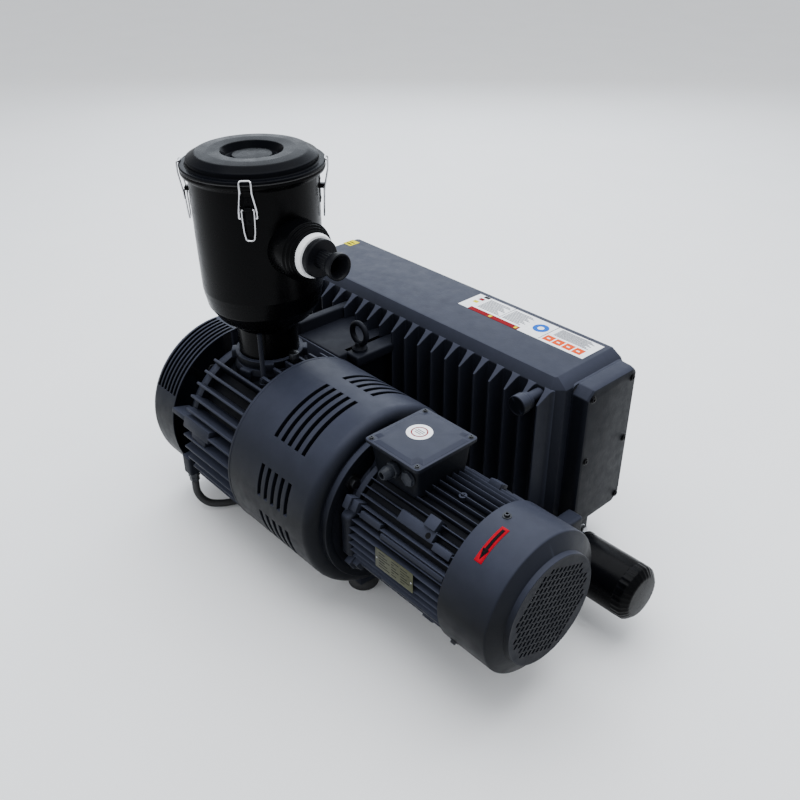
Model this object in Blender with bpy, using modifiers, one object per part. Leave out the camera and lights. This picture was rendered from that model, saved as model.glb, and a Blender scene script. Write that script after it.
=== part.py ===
"""Rotary vane vacuum pump: finned pump cylinder, close-coupled electric motor,
oil separator box and inlet filter canister.

Lengths are in metres. Everything is placed from the drive shaft: x = 0 is the front of the
motor's fan cowl and x falls towards the pump, y = 0 and z = 0 are the shaft's centre line.
The empty "shaft_line" carries the whole assembly, so that the world origin is at floor
level, under the middle of the object's bounding box.
"""

import math

import bmesh
import bpy
from mathutils import Matrix, Vector

GAP = 0.0003

# Whole object
SHAFT_HEIGHT = 0.205
LENGTH_MIN_X = -1.004
LENGTH_MAX_X = 0.031
DEPTH_MIN_Y = -0.182
DEPTH_MAX_Y = 0.446

# Motor
MOTOR_X = (-0.350, -0.110)
MOTOR_FIN_R = 0.1255
MOTOR_ROOT_R = 0.112
MOTOR_BORE_R = 0.100
MOTOR_FINS = 44
COWL_R = 0.130
COWL_LENGTH = 0.124
COWL_FACE_R = 0.1005
FLANGE_R = 0.156
FLANGE_X = (-0.3847, -0.3723)
MOTOR_BEARING_R = 0.036

# Coupling housing between motor and pump
HOUSING_R = 0.182
HOUSING_WALL = 0.012
HOUSING_X = (-0.636, -0.385)
SLOT_X = (-0.535, -0.515, -0.495, -0.475, -0.455)
SLOT_WIDTH = 0.008
SLOT_GROUPS = ((-26.0, -6.0), (5.0, 25.5), (42.6, 86.7), (98.0, 142.0), (-81.5, -38.5))

# Pump
CYLINDER_X = (-0.800, -0.6365)
CYLINDER_ROOT_R = 0.150
CYLINDER_FIN_R = 0.181
CYLINDER_FINS = 40
BORE_R = 0.0955
BORE_OFFSET = 0.0095
ROTOR_R = 0.0855
VANE_THICKNESS = 0.0060
VANE_COUNT = 3
SHAFT_R = 0.018
REAR_COVER_X = (-0.940, -0.850)
REAR_COVER_R = 0.175

# Inlet and filter canister, on a vertical axis over the cylinder
INLET_X = -0.735
INLET_TOP = 0.179
STRUT_X = -0.665
STRUT_Y = -0.065
OUTLET_X = -0.705
OUTLET_Z = 0.030
CANISTER_R = 0.115
CANISTER_RIM_R = 0.1285
CANISTER_TOP = 0.5435
LID_TOP = 0.571
PORT_Z = 0.421
PORT_SEAL_X = (-0.5720, -0.5600)
LATCH_ANGLES = (-40.0, -130.0, 50.0, 140.0)
LATCH_PIVOT = (0.1240, 0.503)
LATCH_HOOK = (0.1240, 0.488)
LATCH_WIRE_R = 0.0015

# Oil separator box
BOX_X = (-0.992, -0.212)
BOX_Y = (0.253, 0.446)
BOX_Z = (-0.115, 0.215)
BOX_WALL = 0.008
BOX_SEAT_Y = 0.254
BOX_BEVEL = 0.020
SUMP_Y = (0.262, 0.362)
SUMP_BOTTOM = -0.165
FIN_PITCH = 0.0385
FIN_THICKNESS = 0.009
FIN_OUTER_Y = 0.2215
FIN_TOP_Z = (0.1745, 0.1950)
FIN_COUNT = 19
FIN_FIRST_X = -0.2355
PLUG_X = -0.2555
PLUG_Z = 0.179
EXHAUST_Y = 0.345
EXHAUST_Z = 0.120
OIL_LINE_R = 0.0082

# Oil filter on the end of the sump
FILTER_Y = 0.222
FILTER_Z = -0.096
FILTER_R = 0.0535

FOOT_R = 0.030
FEET = (
    (-0.420, -0.036, -0.1865),
    (-0.680, -0.036, -0.1865),
    (-0.340, 0.312, SUMP_BOTTOM),
    (-0.880, 0.312, SUMP_BOTTOM),
)

SLATE = (0.105, 0.118, 0.140)
DARK_SLATE = (0.060, 0.068, 0.080)
BLACK = (0.012, 0.013, 0.014)
STEEL = (0.55, 0.56, 0.58)
ALUMINIUM = (0.70, 0.71, 0.72)
WHITE = (0.85, 0.86, 0.86)
COPPER = (0.60, 0.28, 0.14)


def clear_scene():
    for obj in list(bpy.data.objects):
        bpy.data.objects.remove(obj, do_unlink=True)


def new_collection(name):
    collection = bpy.data.collections.new(name)
    bpy.context.scene.collection.children.link(collection)
    return collection


clear_scene()
PUMP = new_collection("rotary_vane_vacuum_pump")
CUTTERS = new_collection("cutters")

shaft_line = bpy.data.objects.new("shaft_line", None)
shaft_line.location = (
    -(LENGTH_MIN_X + LENGTH_MAX_X) / 2,
    -(DEPTH_MIN_Y + DEPTH_MAX_Y) / 2,
    SHAFT_HEIGHT,
)
PUMP.objects.link(shaft_line)


def material(name, colour, roughness, metallic=0.0):
    mat = bpy.data.materials.get(name) or bpy.data.materials.new(name)
    mat.use_nodes = True
    shader = mat.node_tree.nodes["Principled BSDF"]
    shader.inputs["Base Color"].default_value = (*colour, 1.0)
    shader.inputs["Roughness"].default_value = roughness
    shader.inputs["Metallic"].default_value = metallic
    return mat


PAINT = material("slate_paint", SLATE, 0.45)
DARK_PAINT = material("dark_slate_paint", DARK_SLATE, 0.5)
BLACK_PAINT = material("black_enamel", BLACK, 0.3)
PLATED = material("zinc_plate", STEEL, 0.35, 1.0)
CHROME = material("chrome_wire", (0.8, 0.8, 0.82), 0.15, 1.0)
CAST_ALUMINIUM = material("cast_aluminium", ALUMINIUM, 0.4, 1.0)
IRON = material("machined_iron", (0.35, 0.35, 0.36), 0.4, 1.0)
RUBBER = material("black_rubber", (0.02, 0.02, 0.02), 0.8)
PLASTIC = material("black_plastic", (0.02, 0.022, 0.025), 0.45)
TAPE = material("white_seal_tape", WHITE, 0.6)
PAPER = material("filter_paper", (0.78, 0.72, 0.55), 0.9)
WINDING = material("copper_winding", COPPER, 0.4, 1.0)
CARBON = material("carbon_vane", (0.03, 0.03, 0.03), 0.6)


def place(obj, mat, parent=None, cutter=False):
    """Puts an object in its collection, under the shaft line, with its material."""
    (CUTTERS if cutter else PUMP).objects.link(obj)
    obj.parent = parent or shaft_line
    if cutter:
        obj.hide_render = True
        obj.display_type = "WIRE"
    elif mat:
        obj.data.materials.append(mat)
    return obj


def mesh_object(name, bm, mat, parent=None, cutter=False):
    mesh = bpy.data.meshes.new(name)
    bmesh.ops.recalc_face_normals(bm, faces=bm.faces)
    bm.to_mesh(mesh)
    bm.free()
    return place(bpy.data.objects.new(name, mesh), mat, parent, cutter)


def box(name, low, high, mat=None, bevel=0.0, parent=None, cutter=False):
    """A box between two corners, with its edges bevelled if asked."""
    bm = bmesh.new()
    bmesh.ops.create_cube(bm, size=1.0)
    low, high = Vector(low), Vector(high)
    size = high - low
    bmesh.ops.scale(bm, vec=size, verts=bm.verts)
    if bevel:
        bmesh.ops.bevel(bm, geom=bm.edges[:], offset=bevel, segments=1, affect="EDGES", profile=0.5)
    obj = mesh_object(name, bm, mat, parent, cutter)
    obj.location = (low + high) / 2
    return obj


def rod(name, start, end, radius, mat=None, sides=24, end_radius=None, parent=None, cutter=False):
    """A cylinder, cone or prism between two points; the first radius is at the start."""
    start, end = Vector(start), Vector(end)
    bm = bmesh.new()
    bmesh.ops.create_cone(
        bm,
        cap_ends=True,
        segments=sides,
        radius1=radius,
        radius2=radius if end_radius is None else end_radius,
        depth=(end - start).length,
    )
    obj = mesh_object(name, bm, mat, parent, cutter)
    obj.rotation_euler = (end - start).to_track_quat("Z", "Y").to_euler()
    obj.location = (start + end) / 2
    if sides > 8 and not cutter:
        obj.data.shade_smooth()
        obj.data.set_sharp_from_angle(angle=math.radians(40))
    return obj


def turned(name, outline, mat, sides=28, upright=False, at=(0, 0, 0), ring=True, parent=None, cutter=False):
    """A turned piece. The outline is (place along the axis, radius) points, which run down
    the outer side first; a ring's outline closes on itself, a solid's ends on the axis."""
    mesh = bpy.data.meshes.new(name)
    points = [(radius, 0.0, along) for along, radius in outline]
    edges = [(i, i + 1) for i in range(len(points) - 1)]
    if ring:
        edges.append((len(points) - 1, 0))
    mesh.from_pydata(points, edges, [])
    obj = place(bpy.data.objects.new(name, mesh), mat, parent, cutter)
    obj.location = at
    if not upright:
        obj.rotation_euler = (0.0, math.radians(90), 0.0)
    screw = obj.modifiers.new("turn", "SCREW")
    screw.axis = "Z"
    screw.steps = sides
    screw.render_steps = sides
    screw.use_merge_vertices = True
    screw.merge_threshold = 0.00001
    screw.use_smooth_shade = False
    return obj


def combine(target, other, operation):
    modifier = target.modifiers.new(f"{operation.lower()}_{other.name}", "BOOLEAN")
    modifier.operation = operation
    modifier.solver = "EXACT"
    modifier.object = other
    return target


def cut(target, *cutters):
    for cutter in cutters:
        combine(target, cutter, "DIFFERENCE")


def join(target, *others):
    for other in others:
        combine(target, other, "UNION")


def solid_from_curve(name, curve, mat, parent=None, cutter=False):
    """Turns a filled curve into a welded mesh object in the same place."""
    source = bpy.data.objects.new(f"{name}_curve", curve)
    PUMP.objects.link(source)
    bpy.context.view_layer.update()
    evaluated = source.evaluated_get(bpy.context.evaluated_depsgraph_get())
    mesh = bpy.data.meshes.new_from_object(evaluated)
    bpy.data.objects.remove(source, do_unlink=True)
    bm = bmesh.new()
    bm.from_mesh(mesh)
    bmesh.ops.remove_doubles(bm, verts=bm.verts, dist=0.00001)
    bpy.data.meshes.remove(mesh)
    return mesh_object(name, bm, mat, parent, cutter)


def flat_outline(name, loops, thickness, mat, parent=None, cutter=False):
    """A plate of even thickness whose outline and holes are closed loops of (x, y) points."""
    curve = bpy.data.curves.new(name, "CURVE")
    curve.dimensions = "2D"
    curve.fill_mode = "BOTH"
    curve.extrude = thickness / 2
    for loop in loops:
        spline = curve.splines.new("POLY")
        spline.points.add(len(loop) - 1)
        for point, (x, y) in zip(spline.points, loop):
            point.co = (x, y, 0.0, 1.0)
        spline.use_cyclic_u = True
    return solid_from_curve(name, curve, mat, parent, cutter)


def wire(name, points, radius, mat, parent=None):
    """A round bar or pipe along a list of points."""
    curve = bpy.data.curves.new(name, "CURVE")
    curve.dimensions = "3D"
    curve.bevel_depth = radius
    curve.bevel_resolution = 1
    curve.use_fill_caps = True
    spline = curve.splines.new("POLY")
    spline.points.add(len(points) - 1)
    for point, place_at in zip(spline.points, points):
        point.co = (*place_at, 1.0)
    return solid_from_curve(name, curve, mat, parent)


def circle_loop(radius, sides, centre=(0.0, 0.0)):
    turns = (2 * math.pi * i / sides for i in range(sides))
    return [(centre[0] + radius * math.cos(t), centre[1] + radius * math.sin(t)) for t in turns]


def finned_loop(root_r, fin_r, fins, thickness):
    """A round outline with radial fins."""
    loop = []
    for i in range(fins):
        middle = 2 * math.pi * i / fins
        for radius, side in ((root_r, -1), (fin_r, -1), (fin_r, 1), (root_r, 1)):
            turn = middle + side * thickness / 2 / radius
            loop.append((radius * math.cos(turn), radius * math.sin(turn)))
    return loop


def on_shaft(obj, x_range):
    """Stands a flat outline across the shaft, its thickness along x_range."""
    obj.rotation_euler = (0.0, math.radians(90), 0.0)
    obj.location = (sum(x_range) / 2, 0.0, 0.0)
    return obj


def around(radius, degrees, x=0.0):
    """A point around the shaft; 0 degrees faces -Y and 90 degrees is up."""
    turn = math.radians(degrees)
    return Vector((x, -radius * math.cos(turn), radius * math.sin(turn)))


def turn_to(obj, degrees):
    """Swings a piece that was made upright over the shaft to another angle around it."""
    obj.location = around(obj.location.z, degrees, obj.location.x)
    obj.rotation_euler = (math.radians(90.0 - degrees), 0.0, 0.0)


def arc_slot(name, x, width, inner_r, outer_r, angles, steps):
    """A cutter for one slot that runs part of the way around the shaft."""
    first, last = angles
    turns = [math.radians(first + (last - first) * i / steps) for i in range(steps + 1)]
    outer = [(-outer_r * math.sin(t), -outer_r * math.cos(t)) for t in turns]
    inner = [(-inner_r * math.sin(t), -inner_r * math.cos(t)) for t in reversed(turns)]
    slot = flat_outline(name, [outer + inner], width, None, cutter=True)
    return on_shaft(slot, (x, x))


def fan(name, x_range, bore_r, hub_r, tip_r, blades, pitch, mat, blade_thickness=0.003):
    """A fan: a hub ring and pitched blades that are one casting."""
    low, high = x_range
    hub = turned(name, [(high, hub_r), (low, hub_r), (low, bore_r), (high, bore_r)], mat, sides=20)
    bm = bmesh.new()
    width = (high - low) / math.cos(math.radians(pitch)) * 0.9
    for i in range(blades):
        made = bmesh.ops.create_cube(bm, size=1.0)["verts"]
        reach = tip_r - hub_r + 0.003
        bmesh.ops.scale(bm, vec=(width, reach, blade_thickness), verts=made)
        bmesh.ops.rotate(bm, matrix=Matrix.Rotation(math.radians(pitch), 3, "Y"), verts=made)
        bmesh.ops.translate(bm, vec=((low + high) / 2, tip_r - reach / 2, 0.0), verts=made)
        bmesh.ops.rotate(bm, matrix=Matrix.Rotation(2 * math.pi * i / blades, 3, "X"), verts=made)
    join(hub, mesh_object(f"{name}_blades", bm, None, cutter=True))
    return hub


def bolt_hole(name, degrees, x_range):
    """A cutter for one of the holes that the motor flange is bolted through."""
    start, end = (around(0.1225, degrees, x) for x in x_range)
    return rod(name, start, end, 0.006, sides=10, cutter=True)


def build_motor():
    housing_loops = [
        finned_loop(MOTOR_ROOT_R, MOTOR_FIN_R, MOTOR_FINS, 0.003),
        circle_loop(MOTOR_BORE_R, 32),
    ]
    length = MOTOR_X[1] - MOTOR_X[0]
    housing = on_shaft(flat_outline("motor_housing", housing_loops, length, PAINT), MOTOR_X)
    for side, degrees in (("front", 53.0), ("back", 127.0)):
        pad = box(f"motor_pad_{side}", (-0.210, -0.014, 0.105), (-0.168, 0.014, 0.1275), cutter=True)
        turn_to(pad, degrees)
        join(housing, pad)

    flange_outline = [
        (MOTOR_X[0] - GAP, 0.108),
        (FLANGE_X[1], 0.108),
        (FLANGE_X[1], FLANGE_R),
        (FLANGE_X[0], FLANGE_R),
        (FLANGE_X[0], MOTOR_BEARING_R + GAP),
        (MOTOR_X[0] - GAP, MOTOR_BEARING_R + GAP),
    ]
    flange = turned("motor_flange", flange_outline, PAINT, sides=40)
    for i, degrees in enumerate((45.0, 135.0, 225.0, 315.0)):
        cut(flange, bolt_hole(f"flange_hole_{i}", degrees, (-0.39, -0.36)))

    shield_x = (MOTOR_X[1] + GAP, MOTOR_X[1] + 0.012)
    turned(
        "motor_end_shield",
        [
            (shield_x[1], 0.112),
            (shield_x[0], 0.112),
            (shield_x[0], MOTOR_BEARING_R + GAP),
            (shield_x[1], MOTOR_BEARING_R + GAP),
        ],
        PAINT,
    )
    turned(
        "motor_stator",
        [(-0.160, 0.0990), (-0.340, 0.0990), (-0.340, 0.0668), (-0.160, 0.0668)],
        WINDING,
        sides=24,
    )
    rotor_outline = [
        (-0.040, 0.0),
        (-0.040, 0.012),
        (-0.092, 0.012),
        (-0.092, SHAFT_R),
        (-0.170, SHAFT_R),
        (-0.170, 0.0655),
        (-0.330, 0.0655),
        (-0.330, SHAFT_R),
        (-0.520, SHAFT_R),
        (-0.520, 0.0),
    ]
    turned("motor_rotor", rotor_outline, IRON, sides=24, ring=False)
    for name, middle in (("drive_end_bearing", -0.366), ("fan_end_bearing", -0.104)):
        half = 0.0055
        turned(
            name,
            [
                (middle + half, MOTOR_BEARING_R),
                (middle - half, MOTOR_BEARING_R),
                (middle - half, SHAFT_R + GAP),
                (middle + half, SHAFT_R + GAP),
            ],
            PLATED,
            sides=24,
        )
    fan("motor_fan", (-0.086, -0.046), 0.0123, 0.030, 0.108, 7, 0.0, PLASTIC)


def build_fan_cowl():
    wall = 0.0025
    outline = [
        (0.0, COWL_FACE_R),
        (-0.0095, COWL_FACE_R),
        (-0.022, COWL_R),
        (-COWL_LENGTH, COWL_R),
        (-COWL_LENGTH, COWL_R - wall),
        (-0.023, COWL_R - wall),
        (-0.0115, COWL_FACE_R - wall),
        (-wall, COWL_FACE_R - wall),
        (-wall, 0.0),
    ]
    cowl = turned("fan_cowl", [(0.0, 0.0)] + outline, PAINT, sides=40, ring=False)
    pitch = 0.026
    for row in range(-2, 3):
        for column in range(-2, 3):
            if abs(row) + abs(column) in (0, 4):
                continue
            middle = Vector((0.0, column * pitch, row * pitch))
            half = Vector((0.01, 0.009, 0.009))
            cut(cowl, box(f"grille_{row + 2}_{column + 2}", middle - half, middle + half, cutter=True))


def build_terminal_box():
    low = Vector((-0.356, -0.064, MOTOR_FIN_R + 0.0007))
    high = Vector((-0.240, 0.064, 0.1712))
    terminal = box("terminal_box", low, high, PAINT)
    wall = 0.004
    inside = box(
        "terminal_box_inside",
        low + Vector((wall, wall, wall)),
        high + Vector((-wall, -wall, 0.01)),
        cutter=True,
    )
    gland_x, gland_z = -0.293, 0.149

    def along_gland(name, y_start, y_end, radius, mat=None, sides=12, end_radius=None):
        ends = [(gland_x, y, gland_z) for y in (y_start, y_end)]
        return rod(name, *ends, radius, mat, sides, end_radius, cutter=mat is None)

    bore = along_gland("gland_hole", -0.070, -0.055, 0.0065)
    cut(terminal, inside, bore)
    box("terminal_lid", (-0.363, -0.071, 0.1715), (-0.233, 0.071, 0.182), PAINT, bevel=0.002)
    gland = along_gland("cable_gland", low.y - GAP, low.y - 0.010, 0.0145, PLASTIC, 6)
    dome = along_gland("gland_dome", low.y - 0.009, low.y - 0.031, 0.0115, end_radius=0.009)
    through = along_gland("gland_bore", -0.060, -0.100, 0.006)
    join(gland, dome)
    cut(gland, through)


def build_coupling_housing():
    shoulder = 0.0115
    inner_r = HOUSING_R - HOUSING_WALL
    outline = [
        (HOUSING_X[1], FLANGE_R + 0.002),
        (HOUSING_X[1] - shoulder / 3, HOUSING_R - shoulder / 3),
        (HOUSING_X[1] - shoulder, HOUSING_R),
        (HOUSING_X[0], HOUSING_R),
        (HOUSING_X[0], inner_r),
        (HOUSING_X[1] - 0.012, inner_r),
        (HOUSING_X[1] - 0.012, 0.100),
        (HOUSING_X[1], 0.100),
    ]
    housing = turned("coupling_housing", outline, PAINT, sides=36)
    for group, angles in enumerate(SLOT_GROUPS):
        steps = max(2, round((angles[1] - angles[0]) / 15))
        for row, x in enumerate(SLOT_X):
            name = f"slot_{group}_{row}"
            cut(housing, arc_slot(name, x, SLOT_WIDTH, inner_r - 0.01, HOUSING_R + 0.01, angles, steps))
    for i, degrees in enumerate((45.0, 135.0, 225.0, 315.0)):
        cut(housing, bolt_hole(f"housing_hole_{i}", degrees, (-0.405, -0.38)))
    foot_x, foot_y, foot_top = FEET[0]
    pad_low = (foot_x - 0.025, foot_y - 0.025, foot_top)
    join(housing, box("housing_foot_pad", pad_low, (foot_x + 0.022, 0.025, -0.165), cutter=True))


def build_coupling():
    hub = 0.045
    for name, low, high in (("pump_coupling_hub", -0.585, -0.545), ("motor_coupling_hub", -0.525, -0.485)):
        turned(
            name,
            [(high, hub), (low, hub), (low, SHAFT_R + GAP), (high, SHAFT_R + GAP)],
            IRON,
            sides=24,
        )
    turned(
        "coupling_element",
        [(-0.5253, 0.040), (-0.5447, 0.040), (-0.5447, 0.012), (-0.5253, 0.012)],
        RUBBER,
        sides=20,
    )
    fan("coupling_fan", (-0.583, -0.555), hub + 0.001, 0.056, 0.155, 8, 35.0, PLASTIC)


def build_pump():
    bore = circle_loop(BORE_R, 40, (BORE_OFFSET, 0.0))
    loops = [finned_loop(CYLINDER_ROOT_R, CYLINDER_FIN_R, CYLINDER_FINS, 0.007), bore]
    length = CYLINDER_X[1] - CYLINDER_X[0]
    cylinder = on_shaft(flat_outline("pump_cylinder", loops, length, PAINT), CYLINDER_X)
    boss_top = 0.160 - GAP
    boss = rod("inlet_boss", (INLET_X, 0.0, 0.12), (INLET_X, 0.0, boss_top), 0.0645, sides=32, cutter=True)
    strut_foot = Vector((STRUT_X, STRUT_Y, 0.12))
    strut_top = Vector((STRUT_X, STRUT_Y, 0.1517))
    strut_boss = rod("strut_boss", strut_foot, strut_top, 0.009, sides=12, cutter=True)
    outlet = box("outlet_block", (-0.760, 0.105, -0.040), (-0.650, BOX_SEAT_Y - GAP, 0.150), cutter=True)
    pad = box("cylinder_foot_pad", (-0.705, -0.061, FEET[1][2]), (-0.655, 0.025, -0.145), cutter=True)
    ledge = box("outlet_ledge", (-0.660, 0.135, 0.128), (-0.618, BOX_SEAT_Y - GAP, 0.150), cutter=True)
    trim = box("boss_trim", (-0.9, -0.2, boss_top), (-0.64, 0.09, 0.2), cutter=True)
    join(cylinder, boss, strut_boss, outlet, pad, ledge)
    inlet = rod("inlet_port", (INLET_X, 0.0, 0.06), (INLET_X, 0.0, 0.19), 0.028, sides=16, cutter=True)
    outlet_start, outlet_end = ((OUTLET_X, y, OUTLET_Z) for y in (0.06, 0.27))
    outlet_bore = rod("outlet_port", outlet_start, outlet_end, 0.025, sides=16, cutter=True)
    cut(cylinder, inlet, outlet_bore, trim)

    plate_bore = SHAFT_R + GAP
    turned(
        "front_plate",
        [
            (-0.606, 0.060),
            (-0.616, 0.060),
            (-0.616, 0.165),
            (CYLINDER_X[1] + GAP, 0.165),
            (CYLINDER_X[1] + GAP, plate_bore),
            (-0.606, plate_bore),
        ],
        PAINT,
        sides=32,
    )
    rear_face = CYLINDER_X[0] - GAP
    rear = turned(
        "rear_plate",
        [
            (rear_face, 0.150),
            (rear_face - 0.028, 0.150),
            (rear_face - 0.028, 0.060),
            (-0.860, 0.060),
            (-0.860, plate_bore),
            (rear_face, plate_bore),
        ],
        PAINT,
        sides=32,
    )
    arm_end = REAR_COVER_R - 0.0043
    for i, degrees in enumerate((-30.0, 90.0, 210.0)):
        arm = box(f"cover_arm_{i}", (-0.860, -0.012, 0.050), (-0.852, 0.012, arm_end), cutter=True)
        turn_to(arm, degrees)
        join(rear, arm)
    join(rear, box("oil_boss", (-0.8485, -0.168, -0.1055), (-0.820, -0.115, -0.060), cutter=True))

    rotor_outline = [
        (-0.550, 0.0),
        (-0.550, SHAFT_R),
        (CYLINDER_X[1] - GAP, SHAFT_R),
        (CYLINDER_X[1] - GAP, ROTOR_R),
        (CYLINDER_X[0] + GAP, ROTOR_R),
        (CYLINDER_X[0] + GAP, SHAFT_R),
        (-0.905, SHAFT_R),
        (-0.905, 0.0),
    ]
    rotor = turned("pump_rotor", rotor_outline, IRON, sides=36, ring=False)
    half = VANE_THICKNESS / 2
    slot_low = (CYLINDER_X[0] - 0.0016, -half - GAP, 0.045)
    slot_high = (CYLINDER_X[1] + 0.0016, half + GAP, 0.1)
    vane_low = (CYLINDER_X[0] + 2 * GAP, -half, 0.0455)
    vane_high = (CYLINDER_X[1] - 2 * GAP, half, ROTOR_R - GAP)
    for i in range(VANE_COUNT):
        degrees = 30.0 + 360.0 * i / VANE_COUNT
        slot = box(f"vane_slot_{i}", slot_low, slot_high, cutter=True)
        vane = box(f"vane_{i + 1}", vane_low, vane_high, CARBON)
        turn_to(slot, degrees)
        turn_to(vane, degrees)
        cut(rotor, slot)
    fan("rear_fan", (-0.900, -0.875), SHAFT_R + GAP, 0.040, 0.160, 8, 35.0, PLASTIC)


def build_rear_cover():
    wall = 0.003
    near, far = REAR_COVER_X[1], REAR_COVER_X[0]
    corner = 0.014
    outline = [
        (near, REAR_COVER_R),
        (far + corner, REAR_COVER_R),
        (far + corner / 3, REAR_COVER_R - corner / 3),
        (far, REAR_COVER_R - corner),
        (far, 0.060),
        (far + wall, 0.060),
        (far + wall, REAR_COVER_R - corner - wall / 2),
        (far + corner, REAR_COVER_R - wall),
        (near, REAR_COVER_R - wall),
    ]
    cover = turned("rear_fan_cover", outline, PAINT, sides=36)
    for row in range(5):
        x = -0.861 - 0.0135 * row
        for part, angles in enumerate(((26.0, 88.0), (92.0, 154.0))):
            name = f"cover_slot_{row}_{part}"
            cut(cover, arc_slot(name, x, 0.007, REAR_COVER_R - 0.02, REAR_COVER_R + 0.01, angles, 4))


def build_inlet():
    axis = (INLET_X, 0.0, 0.0)
    turned(
        "inlet_flange",
        [
            (INLET_TOP, 0.067),
            (0.160, 0.067),
            (0.160, 0.028),
            (0.170, 0.028),
            (0.170, 0.0590),
            (INLET_TOP, 0.0590),
        ],
        DARK_PAINT,
        upright=True,
        at=axis,
    )
    turned(
        "inlet_valve_plate",
        [(0.1733, 0.0), (0.1733, 0.0292), (0.1703, 0.0292), (0.1703, 0.0)],
        CAST_ALUMINIUM,
        sides=24,
        upright=True,
        at=axis,
        ring=False,
    )
    body_outline = [
        (CANISTER_TOP, CANISTER_RIM_R),
        (0.533, CANISTER_RIM_R),
        (0.531, CANISTER_R + 0.001),
        (0.310, CANISTER_R),
        (0.275, 0.1045),
        (0.252, 0.084),
        (0.240, 0.0585),
        (0.1703, 0.0585),
        (0.1703, 0.030),
        (0.2600, 0.030),
        (0.2600, 0.080),
        (0.279, 0.1010),
        (0.310, CANISTER_R - 0.003),
        (CANISTER_TOP, CANISTER_R - 0.003),
    ]
    body = turned("canister_body", body_outline, BLACK_PAINT, upright=True, at=axis)
    collar_start, collar_end = (INLET_X + 0.095, 0.0, PORT_Z), (PORT_SEAL_X[0] - GAP, 0.0, PORT_Z)
    collar = rod("port_collar", collar_start, collar_end, 0.046, sides=24, cutter=True)
    inside_r = CANISTER_R - 0.003
    over_top = CANISTER_TOP + 0.01
    hollow = turned(
        "canister_hollow",
        [(over_top, 0.0), (over_top, inside_r), (0.32, inside_r), (0.32, 0.0)],
        None,
        upright=True,
        at=axis,
        ring=False,
        cutter=True,
    )
    hole_start, hole_end = (INLET_X + 0.08, 0.0, PORT_Z), (PORT_SEAL_X[0] + 0.01, 0.0, PORT_Z)
    port_hole = rod("port_hole", hole_start, hole_end, 0.0125, sides=16, cutter=True)
    brackets = []
    for i, degrees in enumerate(LATCH_ANGLES):
        bracket = box(f"latch_bracket_{i}", (0.0, -0.0075, 0.480), (0.013, 0.0075, 0.512), cutter=True)
        turn = math.radians(degrees)
        reach = 0.1200
        bracket.location = (INLET_X + reach * math.cos(turn), reach * math.sin(turn), 0.496)
        bracket.rotation_euler = (0.0, 0.0, turn)
        brackets.append(bracket)
    join(body, collar, *brackets)
    cut(body, hollow, port_hole)

    turned(
        "filter_cartridge",
        [(0.500, 0.075), (0.2603, 0.075), (0.2603, 0.045), (0.500, 0.045)],
        PAPER,
        sides=24,
        upright=True,
        at=axis,
    )
    turned(
        "lid_gasket",
        [(0.5462, 0.1275), (0.5438, 0.1275), (0.5438, 0.1125), (0.5462, 0.1125)],
        RUBBER,
        upright=True,
        at=axis,
    )
    lid_outline = [
        (0.555, 0.0),
        (0.555, 0.046),
        (LID_TOP - 0.002, 0.051),
        (LID_TOP, 0.075),
        (LID_TOP - 0.001, 0.100),
        (0.5615, 0.116),
        (0.551, 0.116),
        (0.551, CANISTER_RIM_R),
        (0.5465, CANISTER_RIM_R),
        (0.5465, 0.112),
        (0.559, 0.112),
        (0.566, 0.100),
        (0.566, 0.056),
        (0.551, 0.050),
        (0.551, 0.0),
    ]
    turned("canister_lid", lid_outline, BLACK_PAINT, upright=True, at=axis, ring=False)

    def along_port(points):
        return [(x - INLET_X, radius) for x, radius in points]

    port_axis = (INLET_X, 0.0, PORT_Z)
    far, near = PORT_SEAL_X
    turned(
        "port_seal",
        along_port([(near, 0.0400), (far, 0.0400), (far, 0.020), (near, 0.020)]),
        TAPE,
        sides=24,
        at=port_axis,
    )
    turned(
        "port_adapter",
        along_port(
            [
                (-0.497, 0.0240),
                (-0.511, 0.0240),
                (-0.514, 0.016),
                (-0.553, 0.016),
                (-0.554, 0.0335),
                (near + GAP, 0.0335),
                (near + GAP, 0.0125),
                (-0.515, 0.0125),
                (-0.497, 0.0185),
            ]
        ),
        PLASTIC,
        sides=24,
        at=port_axis,
    )
    strut_foot = Vector((STRUT_X, STRUT_Y, 0.152))
    rod("filter_support_rod", strut_foot, strut_foot + Vector((0.0, 0.0, 0.104)), 0.0045, DARK_PAINT, 12)
    rod("gas_ballast_valve", (-0.6525, 0.0, 0.1840), (-0.6525, 0.0, 0.2000), 0.0095, CAST_ALUMINIUM, 12)


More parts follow.
